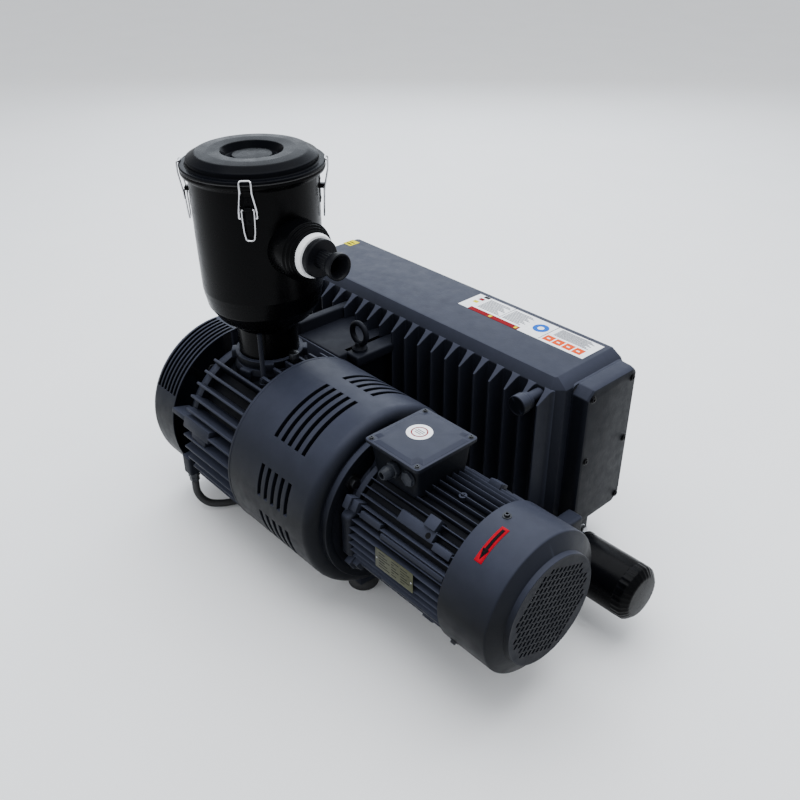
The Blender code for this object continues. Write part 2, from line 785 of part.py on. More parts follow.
def build_latches():
    """Four wire toggle latches around the canister's rim."""
    pivot_r, pivot_z = LATCH_PIVOT
    hook_r, hook_z = LATCH_HOOK
    for i, degrees in enumerate(LATCH_ANGLES, start=1):
        turn = math.radians(degrees)
        outward = Vector((math.cos(turn), math.sin(turn), 0.0))
        lever_pivot = bpy.data.objects.new(f"latch_{i}_pivot", None)
        lever_pivot.parent = shaft_line
        lever_pivot.location = Vector((INLET_X, 0.0, pivot_z)) + outward * pivot_r
        lever_pivot.rotation_euler = (0.0, 0.0, turn)
        PUMP.objects.link(lever_pivot)
        hook_pivot = bpy.data.objects.new(f"latch_{i}_hook_pivot", None)
        hook_pivot.parent = lever_pivot
        hook_pivot.location = (hook_r - pivot_r, 0.0, hook_z - pivot_z)
        PUMP.objects.link(hook_pivot)
        leg, foot = 0.0105, 0.0070
        lever_points = [
            (0.0, -0.0078, 0.0),
            (0.0, -leg, 0.0),
            (0.0, -leg, -0.014),
            (-0.0015, -leg + 0.001, -0.040),
            (-0.0015, -foot + 0.001, -0.0555),
            (-0.0015, foot - 0.001, -0.0555),
            (-0.0015, leg - 0.001, -0.040),
            (0.0, leg, -0.014),
            (0.0, leg, 0.0),
            (0.0, 0.0078, 0.0),
        ]
        wire(f"latch_lever_{i}", lever_points, LATCH_WIRE_R, CHROME, parent=lever_pivot)
        low_leg, top_leg = 0.0155, 0.0098
        rim_r = 0.1315 - hook_r
        bar_r = 0.1275 - hook_r
        bar_z = 0.5535 - hook_z
        bail_points = [
            (0.0, -0.0123, 0.0),
            (0.0, -low_leg, 0.0),
            (0.0015, -low_leg + 0.001, 0.015),
            (rim_r, -top_leg, 0.046),
            (rim_r, -top_leg, bar_z - 0.003),
            (bar_r, -top_leg + 0.001, bar_z),
            (bar_r, top_leg - 0.001, bar_z),
            (rim_r, top_leg, bar_z - 0.003),
            (rim_r, top_leg, 0.046),
            (0.0015, low_leg - 0.001, 0.015),
            (0.0, low_leg, 0.0),
            (0.0, 0.0123, 0.0),
        ]
        wire(f"latch_bail_{i}", bail_points, LATCH_WIRE_R, CHROME, parent=hook_pivot)


def box_fins():
    """The upright fins on the front of the box; each is lower at its outer edge."""
    bm = bmesh.new()
    outline = [
        (FIN_OUTER_Y, -0.110),
        (FIN_OUTER_Y, FIN_TOP_Z[0]),
        (BOX_Y[0], FIN_TOP_Z[1]),
        (BOX_Y[0] + 0.004, FIN_TOP_Z[1]),
        (BOX_Y[0] + 0.004, -0.110),
    ]
    for k in range(FIN_COUNT):
        middle = FIN_FIRST_X - FIN_PITCH * k
        sides = []
        for x in (middle - FIN_THICKNESS / 2, middle + FIN_THICKNESS / 2):
            sides.append([bm.verts.new((x, y, z)) for y, z in outline])
        bm.faces.new(sides[0])
        bm.faces.new(sides[1])
        for i in range(len(outline)):
            j = (i + 1) % len(outline)
            bm.faces.new((sides[0][i], sides[0][j], sides[1][j], sides[1][i]))
    return mesh_object("box_fins", bm, None, cutter=True)


def build_separator():
    low = Vector((BOX_X[0], BOX_Y[0], BOX_Z[0]))
    high = Vector((BOX_X[1], BOX_Y[1], BOX_Z[1]))
    shell = box("exhaust_box", low, high, PAINT, bevel=BOX_BEVEL)
    sump_low = (BOX_X[0] + 0.03, SUMP_Y[0], SUMP_BOTTOM)
    sump_high = (BOX_X[1] + 0.026, SUMP_Y[1], BOX_Z[0] + 0.03)
    sump = box("sump", sump_low, sump_high, cutter=True)

    def along_exhaust(name, x_start, x_end, radius, sides):
        ends = [(x, EXHAUST_Y, EXHAUST_Z) for x in (x_start, x_end)]
        return rod(name, *ends, radius, sides=sides, cutter=True)

    outlet_boss = along_exhaust("exhaust_boss", BOX_X[0] + 0.01, LENGTH_MIN_X, 0.045, 24)
    join(shell, sump, box_fins(), outlet_boss)

    inside_low = low + Vector((BOX_WALL, BOX_WALL, BOX_WALL))
    inside_high = high - Vector((-0.02, BOX_WALL, BOX_WALL))
    inside = box("box_inside", inside_low, inside_high, bevel=0.012, cutter=True)
    sump_inside = box(
        "sump_inside",
        (BOX_X[0] + 0.04, SUMP_Y[0] + BOX_WALL, SUMP_BOTTOM + BOX_WALL),
        (BOX_X[1] + 0.018, SUMP_Y[1] - BOX_WALL, BOX_Z[0] + 0.04),
        cutter=True,
    )
    exhaust_hole = along_exhaust("exhaust_hole", BOX_X[0] - 0.02, BOX_X[0] + 0.03, 0.030, 20)
    duct_start, duct_end = ((OUTLET_X, y, OUTLET_Z) for y in (0.24, 0.27))
    duct_hole = rod("duct_hole", duct_start, duct_end, 0.025, sides=16, cutter=True)
    duct_room = box("duct_room", (-0.764, 0.15, -0.25), (-0.614, BOX_SEAT_Y, 0.1505), cutter=True)
    plug_face, plug_neck, plug_seat = ((PLUG_X, y, PLUG_Z) for y in (0.190, FIN_OUTER_Y - 0.001, BOX_SEAT_Y))
    plug_room = rod("plug_room", plug_face, plug_seat, 0.0130, sides=16, cutter=True)
    end_trim = box("end_trim", (BOX_X[1] + GAP / 2, 0.1, BOX_Z[0] + 0.003), (-0.1, 0.6, 0.3), cutter=True)
    opening_low, opening_high = (BOX_X[1] - 0.05, 0.308, -0.0935), (BOX_X[1] + 0.01, 0.422, 0.1805)
    end_opening = box("end_opening", opening_low, opening_high, cutter=True)
    cut(shell, inside, sump_inside, end_opening, exhaust_hole, duct_hole, duct_room, plug_room, end_trim)

    cover_low = Vector((BOX_X[1] + 0.0023, 0.290, -0.1115))
    cover_high = Vector((-0.176, 0.440, 0.199))
    cover = box("exhaust_end_cover", cover_low, cover_high, PAINT, bevel=0.008)
    hollow_low = cover_low + Vector((-0.01, 0.012, 0.012))
    hollow_high = cover_high - Vector((0.008, 0.012, 0.012))
    cut(cover, box("cover_inside", hollow_low, hollow_high, cutter=True))
    seal_low, seal_high = (BOX_X[1] + 0.0005, 0.298, -0.1035), (BOX_X[1] + 0.0020, 0.432, 0.1905)
    gasket = box("end_cover_gasket", seal_low, seal_high, RUBBER)
    cut(gasket, box("gasket_hole", opening_low, (-0.19, 0.422, 0.1805), cutter=True))
    for i, y in enumerate((0.310, 0.385), start=1):
        turned(
            f"separator_filter_{i}",
            [(-0.300, 0.034), (-0.780, 0.034), (-0.780, 0.022), (-0.300, 0.022)],
            PAPER,
            sides=20,
            at=(0.0, y, 0.110),
        )
    plug = rod("oil_fill_plug", plug_face, plug_neck, 0.0195, PAINT, 24)
    neck_start = Vector(plug_neck) - Vector((0.0, 0.004, 0.0))
    neck_end = Vector(plug_seat) - Vector((0.0, GAP, 0.0))
    join(plug, rod("plug_neck", neck_start, neck_end, 0.0120, sides=16, cutter=True))

    head_x = (BOX_X[1] + 0.026 + GAP, -0.113)
    head_low, head_high = (head_x[0], 0.176, -0.142), (head_x[1], 0.2857, -0.052)
    head = box("oil_filter_head", head_low, head_high, CAST_ALUMINIUM, bevel=0.006)
    bore_start, bore_end = ((x, FILTER_Y, FILTER_Z) for x in (head_x[1] - 0.020, head_x[1] + 0.01))
    cut(head, rod("head_bore", bore_start, bore_end, 0.012, sides=12, cutter=True))
    turned(
        "oil_filter",
        [
            (LENGTH_MAX_X, 0.0),
            (LENGTH_MAX_X, FILTER_R - 0.015),
            (LENGTH_MAX_X - 0.004, FILTER_R - 0.006),
            (LENGTH_MAX_X - 0.013, FILTER_R),
            (head_x[1] + GAP, FILTER_R),
            (head_x[1] + GAP, 0.011),
            (head_x[1] + 0.012, 0.011),
            (head_x[1] + 0.012, 0.0),
        ],
        BLACK_PAINT,
        sides=32,
        at=(0.0, FILTER_Y, FILTER_Z),
        ring=False,
    )
    drain_start, drain_end = ((BOX_X[1] + x, 0.335, -0.140) for x in (0.026 + GAP, 0.038))
    rod("oil_drain_plug", drain_start, drain_end, 0.012, PLATED, 6)


def build_lifting_eye():
    foot = Vector((-0.643, 0.155, 0.150 + GAP))
    eye = rod("lifting_eye", foot, foot + Vector((0.0, 0.0, 0.012)), 0.016, PLATED, 16, end_radius=0.011)
    bm = bmesh.new()
    ring_r, bar_r, rounds, sides = 0.0215, 0.0058, 20, 8

    def ring_point(i, j):
        along, across = 2 * math.pi * i / rounds, 2 * math.pi * j / sides
        reach = ring_r + bar_r * math.cos(across)
        return bm.verts.new((reach * math.cos(along), bar_r * math.sin(across), reach * math.sin(along)))

    points = [[ring_point(i, j) for j in range(sides)] for i in range(rounds)]
    for i in range(rounds):
        for j in range(sides):
            corners = (
                points[i][j],
                points[(i + 1) % rounds][j],
                points[(i + 1) % rounds][(j + 1) % sides],
                points[i][(j + 1) % sides],
            )
            bm.faces.new(corners)
    ring = mesh_object("lifting_ring", bm, None, cutter=True)
    ring.location = foot + Vector((0.0, 0.0, 0.037))
    join(eye, ring)


def build_oil_line():
    rod("oil_line_fitting", (-0.835, -0.153, -0.1060), (-0.835, -0.153, -0.130), 0.0125, PLATED, 6)
    route = [
        (-0.835, -0.153, -0.1303),
        (-0.835, -0.153, -0.150),
        (-0.830, -0.150, -0.170),
        (-0.820, -0.140, -0.187),
        (-0.800, -0.115, -0.1935),
        (-0.775, -0.060, -0.1935),
        (-0.752, 0.010, -0.1935),
        (-0.735, 0.100, -0.1935),
        (-0.722, 0.165, -0.192),
        (-0.716, 0.205, -0.182),
        (-0.713, 0.232, -0.160),
        (-0.712, 0.248, -0.147),
        (-0.712, SUMP_Y[0] - GAP, -0.147),
    ]
    wire("oil_line", route, OIL_LINE_R, RUBBER)


def build_feet():
    for i, (x, y, top) in enumerate(FEET, start=1):
        floor_at, top_at = (x, y, -SHAFT_HEIGHT), (x, y, top - GAP)
        rod(f"foot_{i}", floor_at, top_at, FOOT_R, RUBBER, 20, end_radius=FOOT_R - 0.005)


build_motor()
build_fan_cowl()
build_terminal_box()
build_coupling_housing()
build_coupling()
build_pump()
build_rear_cover()
build_inlet()
build_latches()
build_separator()
build_lifting_eye()
build_oil_line()
build_feet()
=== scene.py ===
"""Looks of the rotary vane vacuum pump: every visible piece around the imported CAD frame.

Pieces are placed from the drive shaft, as in the CAD: x = 0 is the front of the fan cowl and
x falls towards the pump, y = 0 and z = 0 are the shaft's centre line. ORIGIN moves them into
the row frame. Angles around the shaft are 0 towards -Y and 90 at the top.
"""
import math

import bmesh
import bpy
from mathutils import Matrix, Vector


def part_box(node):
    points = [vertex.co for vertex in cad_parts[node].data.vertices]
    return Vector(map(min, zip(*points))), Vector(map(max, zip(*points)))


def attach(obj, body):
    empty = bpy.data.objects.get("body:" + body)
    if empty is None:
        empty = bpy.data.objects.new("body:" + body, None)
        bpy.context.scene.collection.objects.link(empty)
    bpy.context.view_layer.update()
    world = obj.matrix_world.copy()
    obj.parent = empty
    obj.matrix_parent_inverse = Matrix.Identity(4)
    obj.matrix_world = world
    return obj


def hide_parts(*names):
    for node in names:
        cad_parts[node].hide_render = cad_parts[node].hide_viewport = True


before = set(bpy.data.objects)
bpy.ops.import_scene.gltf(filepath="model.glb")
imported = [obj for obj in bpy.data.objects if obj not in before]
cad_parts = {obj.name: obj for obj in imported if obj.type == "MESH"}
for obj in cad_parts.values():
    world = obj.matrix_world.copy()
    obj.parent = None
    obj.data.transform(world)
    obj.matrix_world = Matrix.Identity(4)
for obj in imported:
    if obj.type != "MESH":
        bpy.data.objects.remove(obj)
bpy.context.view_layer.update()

COWL_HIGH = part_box("fan_cowl")[1]
SHAFT_LOW, SHAFT_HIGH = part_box("motor_rotor")
ORIGIN = Vector((COWL_HIGH.x, (SHAFT_LOW.y + SHAFT_HIGH.y) / 2, (SHAFT_LOW.z + SHAFT_HIGH.z) / 2))
STATIC = "pump"
X_AXIS = Vector((1, 0, 0))
Y_AXIS = Vector((0, 1, 0))
Z_AXIS = Vector((0, 0, 1))
INLET_X = -0.735
INLET = Matrix.Translation((INLET_X, 0.0, 0.0))
PAD_ANGLE = 16.5
QUARTERS = (45.0, 135.0, 225.0, 315.0)
THIRDS = (-30.0, 90.0, 210.0)


def local_box(node):
    """A CAD node's corners, measured from the shaft."""
    low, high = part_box(node)
    return low - ORIGIN, high - ORIGIN


def middle_of(low, high):
    """The x, y and z half way between two corners."""
    return (low.x + high.x) / 2, (low.y + high.y) / 2, (low.z + high.z) / 2


# ---------------------------------------------------------------- materials

def tree(name):
    mat = bpy.data.materials.new(name)
    mat.use_nodes = True
    nodes, links = mat.node_tree.nodes, mat.node_tree.links
    return mat, nodes, links, nodes["Principled BSDF"]


def noise_node(nodes, links, scale, detail=4.0, roughness=0.55, stretch=None):
    coords = nodes.new("ShaderNodeTexCoord")
    noise = nodes.new("ShaderNodeTexNoise")
    noise.inputs["Scale"].default_value = scale
    noise.inputs["Detail"].default_value = detail
    noise.inputs["Roughness"].default_value = roughness
    if stretch:
        mapping = nodes.new("ShaderNodeMapping")
        mapping.inputs["Scale"].default_value = stretch
        links.new(coords.outputs["Object"], mapping.inputs["Vector"])
        links.new(mapping.outputs["Vector"], noise.inputs["Vector"])
    else:
        links.new(coords.outputs["Object"], noise.inputs["Vector"])
    return noise


def ramp(nodes, links, source, stops):
    """A colour ramp; stops are (position, colour or grey)."""
    node = nodes.new("ShaderNodeValToRGB")
    elements = node.color_ramp.elements
    while len(elements) < len(stops):
        elements.new(0.5)
    for element, (position, value) in zip(elements, stops):
        element.position = position
        colour = value if isinstance(value, tuple) else (value, value, value)
        element.color = (*colour, 1.0)
    links.new(source, node.inputs["Fac"])
    return node.outputs["Color"]


def feed(nodes, links, noise, stops, socket):
    """A noise, through a ramp, into a socket."""
    links.new(ramp(nodes, links, noise.outputs["Fac"], stops), socket)


def mix(nodes, links, factor, first, second, blend="MIX"):
    node = nodes.new("ShaderNodeMix")
    node.data_type = "RGBA"
    node.blend_type = blend
    for socket, value in (("Factor_Float", factor), ("A_Color", first), ("B_Color", second)):
        target = next(s for s in node.inputs if s.identifier == socket)
        if isinstance(value, (int, float)):
            target.default_value = value
        elif isinstance(value, tuple):
            target.default_value = (*value, 1.0)
        else:
            links.new(value, target)
    return next(s for s in node.outputs if s.identifier == "Result_Color")


def bump(nodes, links, height, strength, distance):
    node = nodes.new("ShaderNodeBump")
    node.inputs["Strength"].default_value = strength
    node.inputs["Distance"].default_value = distance
    links.new(height, node.inputs["Height"])
    return node.outputs["Normal"]


def shade(colour, factor):
    return tuple(min(1.0, c * factor) for c in colour)


SLATE = (0.0026, 0.0033, 0.0052)
# Painted light: a pale blue-grey mixed into the paint on upward faces and on edges, in place of the sheen
# from the lamps above.
TOP_SHEEN = (0.104, 0.116, 0.172)


def painted(name, colour, roughness=0.45, grain=260.0, depth=0.00025, specular=0.08,
            edge_wear_and_sheen=0.3, top_sheen=0.3):
    """Enamel on metal: cloudy tone, orange peel or casting grain, rubbed edges with a painted edge highlight,
    and a painted top sheen that makes upward faces lighter.
    """
    mat, nodes, links, shader = tree(name)
    cloud = noise_node(nodes, links, 9.0, 5.0)
    body = ramp(nodes, links, cloud.outputs["Fac"], ((0.3, shade(colour, 0.86)), (0.7, shade(colour, 1.14))))
    speck = noise_node(nodes, links, 420.0, 2.0)
    fleck = ramp(nodes, links, speck.outputs["Fac"], ((0.35, 0.82), (0.65, 1.12)))
    toned = mix(nodes, links, 0.5, body, fleck, "MULTIPLY")
    geometry = nodes.new("ShaderNodeNewGeometry")
    # Rubbed edges, lightened towards half the sheen colour: edge wear together with a painted edge highlight.
    edge = ramp(nodes, links, geometry.outputs["Pointiness"], ((0.52, 0.0), (0.62, edge_wear_and_sheen)))
    worn = mix(nodes, links, edge, toned, shade(TOP_SHEEN, 0.5))
    # Painted top sheen: the more a face points up, the closer it turns to the pale sheen colour, with slight
    # random patches.
    upward = nodes.new("ShaderNodeSeparateXYZ")
    links.new(geometry.outputs["Normal"], upward.inputs["Vector"])
    patch = noise_node(nodes, links, 28.0, 6.0, 0.65)
    sheen_share = nodes.new("ShaderNodeMath")
    sheen_share.operation = "MULTIPLY"
    sheen_share.use_clamp = True
    facing = ramp(nodes, links, upward.outputs["Z"], ((0.12, 0.0), (0.5, 0.36), (0.82, 0.94), (1.0, 1.0)))
    links.new(facing, sheen_share.inputs[0])
    feed(nodes, links, patch, ((0.3, top_sheen * 0.82), (0.72, top_sheen)), sheen_share.inputs[1])
    top_lit = mix(nodes, links, sheen_share.outputs["Value"], worn, TOP_SHEEN)
    links.new(top_lit, shader.inputs["Base Color"])
    rough = noise_node(nodes, links, 45.0, 4.0)
    spread = ((0.3, max(0.05, roughness - 0.05)), (0.7, roughness + 0.08))
    feed(nodes, links, rough, spread, shader.inputs["Roughness"])
    peel = noise_node(nodes, links, grain, 3.0)
    links.new(bump(nodes, links, peel.outputs["Fac"], 0.35, depth), shader.inputs["Normal"])
    shader.inputs["Specular IOR Level"].default_value = specular
    return mat


def metal(name, colour, roughness=0.3, brushed=None, tarnish=0.3):
    """Bare or plated metal with fine scratches and slight tarnish."""
    mat, nodes, links, shader = tree(name)
    cloud = noise_node(nodes, links, 35.0, 5.0)
    dulled = shade(colour, 1.0 - tarnish)
    feed(nodes, links, cloud, ((0.35, dulled), (0.65, colour)), shader.inputs["Base Color"])
    scratch = noise_node(nodes, links, 300.0, 3.0, stretch=brushed or (1.0, 1.0, 1.0))
    spread = ((0.3, max(0.04, roughness - 0.08)), (0.7, roughness + 0.1))
    feed(nodes, links, scratch, spread, shader.inputs["Roughness"])
    links.new(bump(nodes, links, scratch.outputs["Fac"], 0.15, 0.0001), shader.inputs["Normal"])
    shader.inputs["Metallic"].default_value = 1.0
    return mat


def moulded(name, colour, roughness=0.5, grain=700.0, depth=0.0001, specular=0.4, sheen=0.0):
    """Plastic, rubber or cloth-like surfaces with a fine grain and faint bloom."""
    mat, nodes, links, shader = tree(name)
    bloom = noise_node(nodes, links, 18.0, 5.0)
    tone = ((0.3, shade(colour, 0.8)), (0.75, shade(colour, 1.35)))
    feed(nodes, links, bloom, tone, shader.inputs["Base Color"])
    fine = noise_node(nodes, links, grain, 3.0)
    spread = ((0.3, max(0.05, roughness - 0.07)), (0.7, roughness + 0.1))
    feed(nodes, links, fine, spread, shader.inputs["Roughness"])
    links.new(bump(nodes, links, fine.outputs["Fac"], 0.4, depth), shader.inputs["Normal"])
    shader.inputs["Specular IOR Level"].default_value = specular
    shader.inputs["Sheen Weight"].default_value = sheen
    return mat


def printed(name, colour):
    """Ink on a vinyl label: faint mottling and a few scuffs."""
    mat, nodes, links, shader = tree(name)
    mottle = noise_node(nodes, links, 120.0, 3.0)
    tone = ((0.3, shade(colour, 0.92)), (0.7, shade(colour, 1.04)))
    base = ramp(nodes, links, mottle.outputs["Fac"], tone)
    scuff = noise_node(nodes, links, 60.0, 8.0, 0.7, stretch=(1.0, 4.0, 1.0))
    worn = ramp(nodes, links, scuff.outputs["Fac"], ((0.68, 0.0), (0.8, 0.2)))
    links.new(mix(nodes, links, worn, base, (0.45, 0.45, 0.46)), shader.inputs["Base Color"])
    feed(nodes, links, scuff, ((0.3, 0.5), (0.7, 0.67)), shader.inputs["Roughness"])
    shader.inputs["Specular IOR Level"].default_value = 0.04
    return mat


def pleated(name, colour):
    """Filter paper with vertical pleats."""
    mat, nodes, links, shader = tree(name)
    fibres = noise_node(nodes, links, 500.0, 6.0)
    tone = ((0.3, shade(colour, 0.75)), (0.7, colour))
    feed(nodes, links, fibres, tone, shader.inputs["Base Color"])
    coords = nodes.new("ShaderNodeTexCoord")
    folds = nodes.new("ShaderNodeTexWave")
    folds.inputs["Scale"].default_value = 60.0
    links.new(coords.outputs["Object"], folds.inputs["Vector"])
    links.new(bump(nodes, links, folds.outputs["Fac"], 0.6, 0.002), shader.inputs["Normal"])
    shader.inputs["Roughness"].default_value = 0.9
    return mat


CAST = painted("slate_casting", SLATE, 0.48, grain=230.0, depth=0.0006)
SHEET = painted("slate_sheet", SLATE, 0.42, grain=600.0, depth=0.00022, edge_wear_and_sheen=0.25)
# A darker copy of the slate paint with little top sheen: painted shade on fin floors, the cowl grille and the
# blocks between cylinder and separator; also used on the stud, eye bolt and front plate.
DARK = painted("slate_dark", shade(SLATE, 0.6), 0.5, grain=300.0, depth=0.0005, top_sheen=0.05)
LID_PAINT = painted("canister_lid_paint", (0.002, 0.0023, 0.0034), 0.25, 500.0, 0.0002, 0.018,
                    edge_wear_and_sheen=0.05, top_sheen=0.004)
GLOSS = painted("canister_gloss", (0.0008, 0.0008, 0.001), 0.24, 420.0, 0.00012, 0.05, edge_wear_and_sheen=0.03, top_sheen=0.006)
ZINC = metal("zinc_plate", (0.42, 0.43, 0.45), 0.34)
BLACKED = metal("blackened_steel", (0.045, 0.047, 0.052), 0.38, tarnish=0.4)
WIRE = metal("chrome_wire", (0.62, 0.62, 0.64), 0.16, tarnish=0.15)
IRON = metal("turned_iron", (0.3, 0.3, 0.31), 0.36, brushed=(1.0, 8.0, 8.0))
ALLOY = metal("cast_alloy", (0.46, 0.47, 0.49), 0.42)
PLATE = metal("nameplate_metal", (0.062, 0.064, 0.038), 0.34, brushed=(12.0, 1.0, 1.0))
RUBBER = moulded("rubber_black", (0.012, 0.012, 0.013), 0.62, 400.0, 0.0002)
PLASTIC = moulded("plastic_black", (0.0035, 0.0038, 0.0052), 0.36, 900.0, 0.00008, specular=0.09)
GREY_PLASTIC = moulded("plastic_slate", (0.01, 0.012, 0.017), 0.5, 800.0, 0.0001, specular=0.2)
TAPE = moulded("seal_tape", (0.78, 0.79, 0.8), 0.55, 260.0, 0.0005, sheen=0.2)
COPPER = metal("winding_varnish", (0.35, 0.15, 0.07), 0.45)
CARBON = moulded("vane_carbon", (0.02, 0.02, 0.02), 0.5)
PAPER = pleated("filter_paper", (0.7, 0.64, 0.46))
INK_WHITE = printed("ink_white", (0.9, 0.91, 0.93))
INK_ORANGE = printed("ink_orange", (0.7, 0.065, 0.002))
INK_RED = printed("ink_red", (0.2, 0.001, 0.006))
INK_BRIGHT_RED = printed("ink_bright_red", (0.36, 0.0005, 0.012))
INK_BLUE = printed("ink_blue", (0.001, 0.1, 0.5))
INK_BLACK = printed("ink_black", (0.006, 0.006, 0.007))
INK_YELLOW = printed("ink_yellow", (0.66, 0.56, 0.0015))
INK_GREY = printed("ink_grey", (0.06, 0.065, 0.085))


# ---------------------------------------------------------------- mesh tools

def frame_at(point, direction, spin=0.0):
    """A matrix whose Z runs along direction from point."""
    turn = Vector(direction).normalized().to_track_quat("Z", "Y").to_matrix().to_4x4()
    return Matrix.Translation(Vector(point)) @ turn @ Matrix.Rotation(math.radians(spin), 4, "Z")


def around(radius, degrees, x=0.0):
    """A point around the shaft."""
    turn = math.radians(degrees)
    return Vector((x, -radius * math.cos(turn), radius * math.sin(turn)))


def outward(degrees):
    return around(1.0, degrees)


def clocked(degrees):
    """Turns what stands up from the shaft to an angle around it."""
    return Matrix.Rotation(math.radians(90.0 - degrees), 4, "X")


def about_inlet(degrees):
    """The inlet's upright axis, turned about itself."""
    return INLET @ Matrix.Rotation(math.radians(degrees), 4, "Z")


def facing_x(x):
    """Stands a flat outline across X: its first coordinate is +Y and its second is up."""
    return Matrix(((0, 0, 1, x), (1, 0, 0, 0), (0, 1, 0, 0), (0, 0, 0, 1)))


def corner_curve(start, corner, end, steps):
    """Points of the curve that rounds a corner."""
    turns = [k / steps for k in range(steps + 1)]
    return [start * (1 - t) ** 2 + corner * 2 * t * (1 - t) + end * t * t for t in turns]


def filleted(points, closed=False, steps=4):
    """Rounds the corners of a 2-D outline. A point is (u, v) or (u, v, radius)."""
    made = []
    count = len(points)
    for i, point in enumerate(points):
        here = Vector(point[:2])
        radius = point[2] if len(point) > 2 else 0.0
        if radius <= 0 or (not closed and i in (0, count - 1)):
            made.append(here)
            continue
        before = Vector(points[i - 1][:2]) - here
        after = Vector(points[(i + 1) % count][:2]) - here
        half = before.angle(after) / 2
        reach = min(radius / math.tan(half), before.length * 0.49, after.length * 0.49)
        start, end = here + before.normalized() * reach, here + after.normalized() * reach
        made += corner_curve(start, here, end, steps)
    return made


def add_lathe(bm, profile, matrix=None, segments=96, closed=True, steps=4, mat=0, flute=None):
    """A turned shape about the matrix's Z. The profile is (along, radius[, corner radius]).
    flute(angle) scales the radius, for ribs that run along the axis."""
    matrix = matrix or Matrix.Identity(4)
    outline = filleted(profile, closed, steps)
    rings = []
    for j in range(segments):
        turn = 2 * math.pi * j / segments
        scale = flute(turn) if flute else 1.0
        spots = [Vector((p.y * scale * math.cos(turn), p.y * scale * math.sin(turn), p.x)) for p in outline]
        rings.append([bm.verts.new(matrix @ spot) for spot in spots])
    last = len(outline) if closed else len(outline) - 1
    for j in range(segments):
        ring, other = rings[j], rings[(j + 1) % segments]
        for i in range(last):
            k = (i + 1) % len(outline)
            if outline[i].y < 1e-7 and outline[k].y < 1e-7:
                continue
            bm.faces.new((ring[i], ring[k], other[k], other[i])).material_index = mat


def add_x_lathe(bm, profile, segments=96, closed=True, steps=4, centre=(0.0, 0.0), flute=None):
    """A turned shape about a line along X; the profile is (x, radius[, corner radius])."""
    add_lathe(bm, profile, frame_at((0.0, *centre), X_AXIS), segments, closed, steps, flute=flute)


def add_box(bm, low, high, bevel=0.001, segments=2, matrix=None, mat=0, taper=(1.0, 1.0)):
    """A box with rounded edges; taper narrows its top in x and y."""
    low, high = Vector(low), Vector(high)
    other = bmesh.new()
    bmesh.ops.create_cube(other, size=1.0)
    for vert in other.verts:
        if vert.co.z > 0:
            vert.co.x *= taper[0]
            vert.co.y *= taper[1]
    size = high - low
    bmesh.ops.transform(other, matrix=Matrix.Diagonal((*size, 1.0)), verts=other.verts)
    limit = min(size) * 0.45
    edges = other.edges[:]
    bmesh.ops.bevel(other, geom=edges, offset=min(bevel, limit), segments=segments,
                    affect="EDGES", profile=0.5)
    place = (matrix or Matrix.Identity(4)) @ Matrix.Translation((low + high) / 2)
    absorb(bm, other, place, mat)


def absorb(bm, other, matrix, mat=0):
    """Adds another bmesh's faces, moved by matrix."""
    bmesh.ops.transform(other, matrix=matrix, verts=other.verts)
    mesh = bpy.data.meshes.new("joined")
    other.to_mesh(mesh)
    other.free()
    before = len(bm.faces)
    bm.from_mesh(mesh)
    bm.faces.ensure_lookup_table()
    for face in bm.faces[before:]:
        face.material_index = mat
    bpy.data.meshes.remove(mesh)


def curve_shape(curve):
    """The evaluated mesh of a curve, welded, as a bmesh."""
    source = bpy.data.objects.new("curve_source", curve)
    bpy.context.scene.collection.objects.link(source)
    bpy.context.view_layer.update()
    mesh = bpy.data.meshes.new_from_object(source.evaluated_get(bpy.context.evaluated_depsgraph_get()))
    bpy.data.objects.remove(source, do_unlink=True)
    bpy.data.curves.remove(curve)
    bm = bmesh.new()
    bm.from_mesh(mesh)
    bpy.data.meshes.remove(mesh)
    bmesh.ops.remove_doubles(bm, verts=bm.verts, dist=0.000005)
    return bm


def add_plate(bm, loops, thickness, matrix=None, bevel=0.0006, mat=0, steps=2):
    """A flat plate from closed outlines (holes inside), centred on the matrix's XY plane."""
    curve = bpy.data.curves.new("outline", "CURVE")
    curve.dimensions = "2D"
    curve.fill_mode = "BOTH"
    curve.extrude = thickness / 2 - bevel
    curve.bevel_depth = bevel
    curve.offset = -bevel
    curve.bevel_resolution = steps - 1
    for loop in loops:
        spline = curve.splines.new("POLY")
        spline.points.add(len(loop) - 1)
        for point, spot in zip(spline.points, loop):
            point.co = (spot[0], spot[1], 0.0, 1.0)
        spline.use_cyclic_u = True
    absorb(bm, curve_shape(curve), matrix or Matrix.Identity(4), mat)


def bent(points, radius, steps=5):
    """A 3-D route with rounded corners."""
    made = [Vector(points[0])]
    for before, here, after in zip(points, points[1:], points[2:]):
        before, here, after = Vector(before), Vector(here), Vector(after)
        back, on = before - here, after - here
        reach = min(radius, back.length * 0.49, on.length * 0.49)
        start, end = here + back.normalized() * reach, here + on.normalized() * reach
        made += corner_curve(start, here, end, steps)
    return made + [Vector(points[-1])]


def add_tube(bm, points, radius, cyclic=False, sides=3):
    """A round bar along a route."""
    curve = bpy.data.curves.new("route", "CURVE")
    curve.dimensions = "3D"
    curve.bevel_depth = radius
    curve.bevel_resolution = sides
    curve.use_fill_caps = not cyclic
    spline = curve.splines.new("POLY")
    spline.points.add(len(points) - 1)
    for point, spot in zip(spline.points, points):
        point.co = (*spot, 1.0)
    spline.use_cyclic_u = cyclic
    absorb(bm, curve_shape(curve), Matrix.Identity(4))


